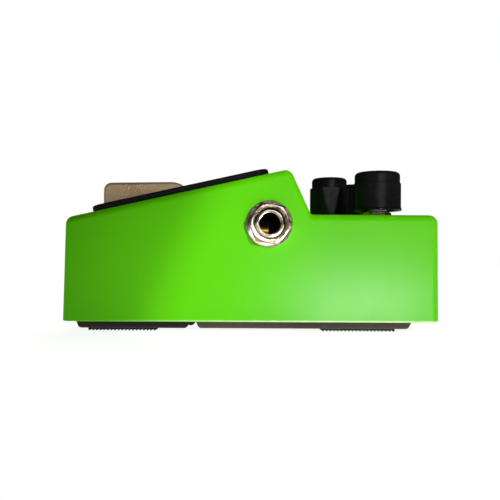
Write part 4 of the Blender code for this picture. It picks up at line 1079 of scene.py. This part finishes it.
def make_base_plate():
    plate = pan_item("base_cover", BASE_FLANGE_Y, BASE_PAN_Y)
    cup_top = FLANGE_Z + SHEET
    bore = CUP_RADIUS - SHEET
    cups, cutters = [], []
    for side in (1, -1):
        x, y = side * FRONT_SCREW.x, FRONT_SCREW.y
        cups.append(bar_item("cup", CUP_RADIUS, (x, y, PAN_FLOOR_Z + SHEET / 2), (x, y, cup_top)))
        cutters.append(turned_item("recess", [
            (0, FLANGE_Z), (bore - 0.3 * MM, FLANGE_Z), (bore, FLANGE_Z - 0.3 * MM),
            (bore, PAN_FLOOR_Z + 0.4 * MM), (bore + 0.5 * MM, PAN_FLOOR_Z - 0.01 * MM),
            (bore + 0.5 * MM, 0), (0, 0)], upright_frame(x, y), steps=COARSE))
        for place in (FRONT_SCREW, REAR_SCREW):
            x, y = side * place.x, place.y
            cutters.append(bar_item("screw_hole", 1.6 * MM, (x, y, 0), (x, y, 2 * cup_top)))
    join(plate, cups)
    cut(plate, cutters)
    finish_piece(plate, BASE_PAINT, "pedal_body", ["base_plate"])


def make_battery_door():
    door = pan_item("door_cover", DOOR_FLANGE_Y, DOOR_PAN_Y)
    lift = FLANGE_Z + SHEET + 0.3 * MM
    hooks = []
    for side in (1, -1):
        hooks.append(sided_item("root", side, (11.1 * MM, -23.1 * MM, FLANGE_Z + SHEET / 2),
                                (18.9 * MM, DOOR_FLANGE_Y[1], lift + SHEET / 2)))
        hooks.append(sided_item("tongue", side, (11 * MM, -23 * MM, lift),
                                (19 * MM, -16.5 * MM, lift + SHEET)))
    bead = bar_item("bead", BEAD_RADIUS, (-BEAD_HALF_LENGTH, DOOR_AXIS.y, DOOR_AXIS.z),
                    (BEAD_HALF_LENGTH, DOOR_AXIS.y, DOOR_AXIS.z))
    join(door, [bead] + hooks)
    finish_piece(door, SHADED_DOOR_PAINT, "battery_door_body", ["battery_door"])


def make_screw(node):
    """Pan-head screw with a cross recess, its head facing down."""
    low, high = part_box(node)
    x, y = (low.x + high.x) / 2, (low.y + high.y) / 2
    radius = (high.x - low.x) / 2
    seat = low.z + 1.15 * MM
    crown = 0.55 * MM
    arc = arc_points((0, low.z + crown), (radius, -crown), range(90, -1, -10))
    thread = []
    z = high.z - 0.8 * MM
    while z > seat + 0.8 * MM:
        thread += [(1.3 * MM, z), (1.05 * MM, z - 0.25 * MM)]
        z -= 0.5 * MM
    profile = [(0, high.z)] + thread + [(1.3 * MM, seat), (radius, seat)] + arc
    screw = turned_item(node + "_finish", profile, upright_frame(x, y), steps=COARSE)
    cross = []
    for turn in (0, 90):
        bar = cube_item("cross", (-1.25 * MM, -0.28 * MM, -0.1 * MM), (1.25 * MM, 0.28 * MM, 0.75 * MM))
        bar.data.transform(Matrix.Translation((x, y, low.z))
                           @ Matrix.Rotation(math.radians(turn + 27), 4, "Z"))
        cross.append(bar)
    cut(screw, cross)
    finish_piece(screw, ZINC, "pedal_body", [node])


def make_strip(node, body, lean):
    """Rubber foot with ribs across its underside that lean to the rear, or to the front at -1."""
    low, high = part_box(node)
    top = PAN_FLOOR_Z - CONTACT
    outline = [(low.y, top), (low.y, RIB_ROOT_Z)]
    count = round((high.y - low.y) / RIB_PITCH)
    pitch = (high.y - low.y) / count
    for i in range(count):
        y = low.y + i * pitch
        tip = y + (0.5 + 0.22 * lean) * pitch
        outline += [(y + 0.12 * pitch, RIB_ROOT_Z), (tip - 0.16 * pitch, RIB_NOSE_Z), (tip, 0.0),
                    (tip + 0.16 * pitch, RIB_NOSE_Z), (y + 0.9 * pitch, RIB_ROOT_Z)]
    outline += [(high.y, RIB_ROOT_Z), (high.y, top)]
    strip = extruded_item(node + "_ribs", [outline], high.x - low.x, side_frame(low.x))
    finish_piece(strip, RUBBER, body, [node], 50)


# ---------------------------------------------------------------- inside

def make_springs():
    for label, side in (("right", 1), ("left", -1)):
        low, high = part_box("treadle_spring_" + label)
        steps = 16 * SPRING_TURNS
        base, top = low.z + SPRING_WIRE, high.z - SPRING_WIRE
        route = []
        for step in range(steps + 1):
            share = step / steps
            angle = 2 * math.pi * SPRING_TURNS * share
            route.append((side * SPRING_X + SPRING_RADIUS * math.cos(angle),
                          SWITCH_Y + SPRING_RADIUS * math.sin(angle), base + (top - base) * share))
        spring = wire_item("return_spring_" + label, route, SPRING_WIRE)
        finish_piece(spring, SPRING, "pedal_body", ["treadle_spring_" + label])
        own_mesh(spring)


def keep_nodes():
    """CAD nodes whose shape is already right take the finished materials."""
    kept = {
        ZINC: ["treadle_hinge_pin", "switch_bracket", "drive_pot", "tone_pot", "level_pot"],
        NICKEL: ["drive_shaft", "tone_shaft", "level_shaft"],
        BLACK: ["input_jack_body", "output_jack_body", "footswitch_case", "op_amp_chip", "battery_snap",
                "battery_box"],
        WHITE: ["footswitch_button"],
        BOARD: ["main_board"],
        BLUE: ["capacitor_left", "capacitor_right"],
        RED_WIRE: ["battery_lead_red", "input_wire"],
        BLACK_WIRE: ["battery_lead_black", "output_wire"],
        BATTERY: ["battery"],
    }
    for material, names in kept.items():
        for name in names:
            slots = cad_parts[name].data.materials
            if len(slots) == 0:
                slots.append(material)
            for index in range(len(slots)):
                slots[index] = material


def build():
    make_camera()
    make_studio()
    make_floor()
    make_housing()
    make_bezel()
    make_treadle()
    for name, size in KNOBS.items():
        make_knob(name, size)
        make_pot_nut(name)
    make_lamp()
    for make in (make_jack, make_tip_contact):
        make("input", 1)
        make("output", -1)
    make_inlet()
    make_base_plate()
    make_battery_door()
    for node in ("base_screw_front_left", "base_screw_front_right", "base_screw_rear_left",
                 "base_screw_rear_right", "bracket_screw_left", "bracket_screw_right"):
        make_screw(node)
    make_strip("front_rubber_strip", "battery_door_body", -1)
    make_strip("rear_rubber_strip", "pedal_body", 1)
    make_springs()
    keep_nodes()


build()
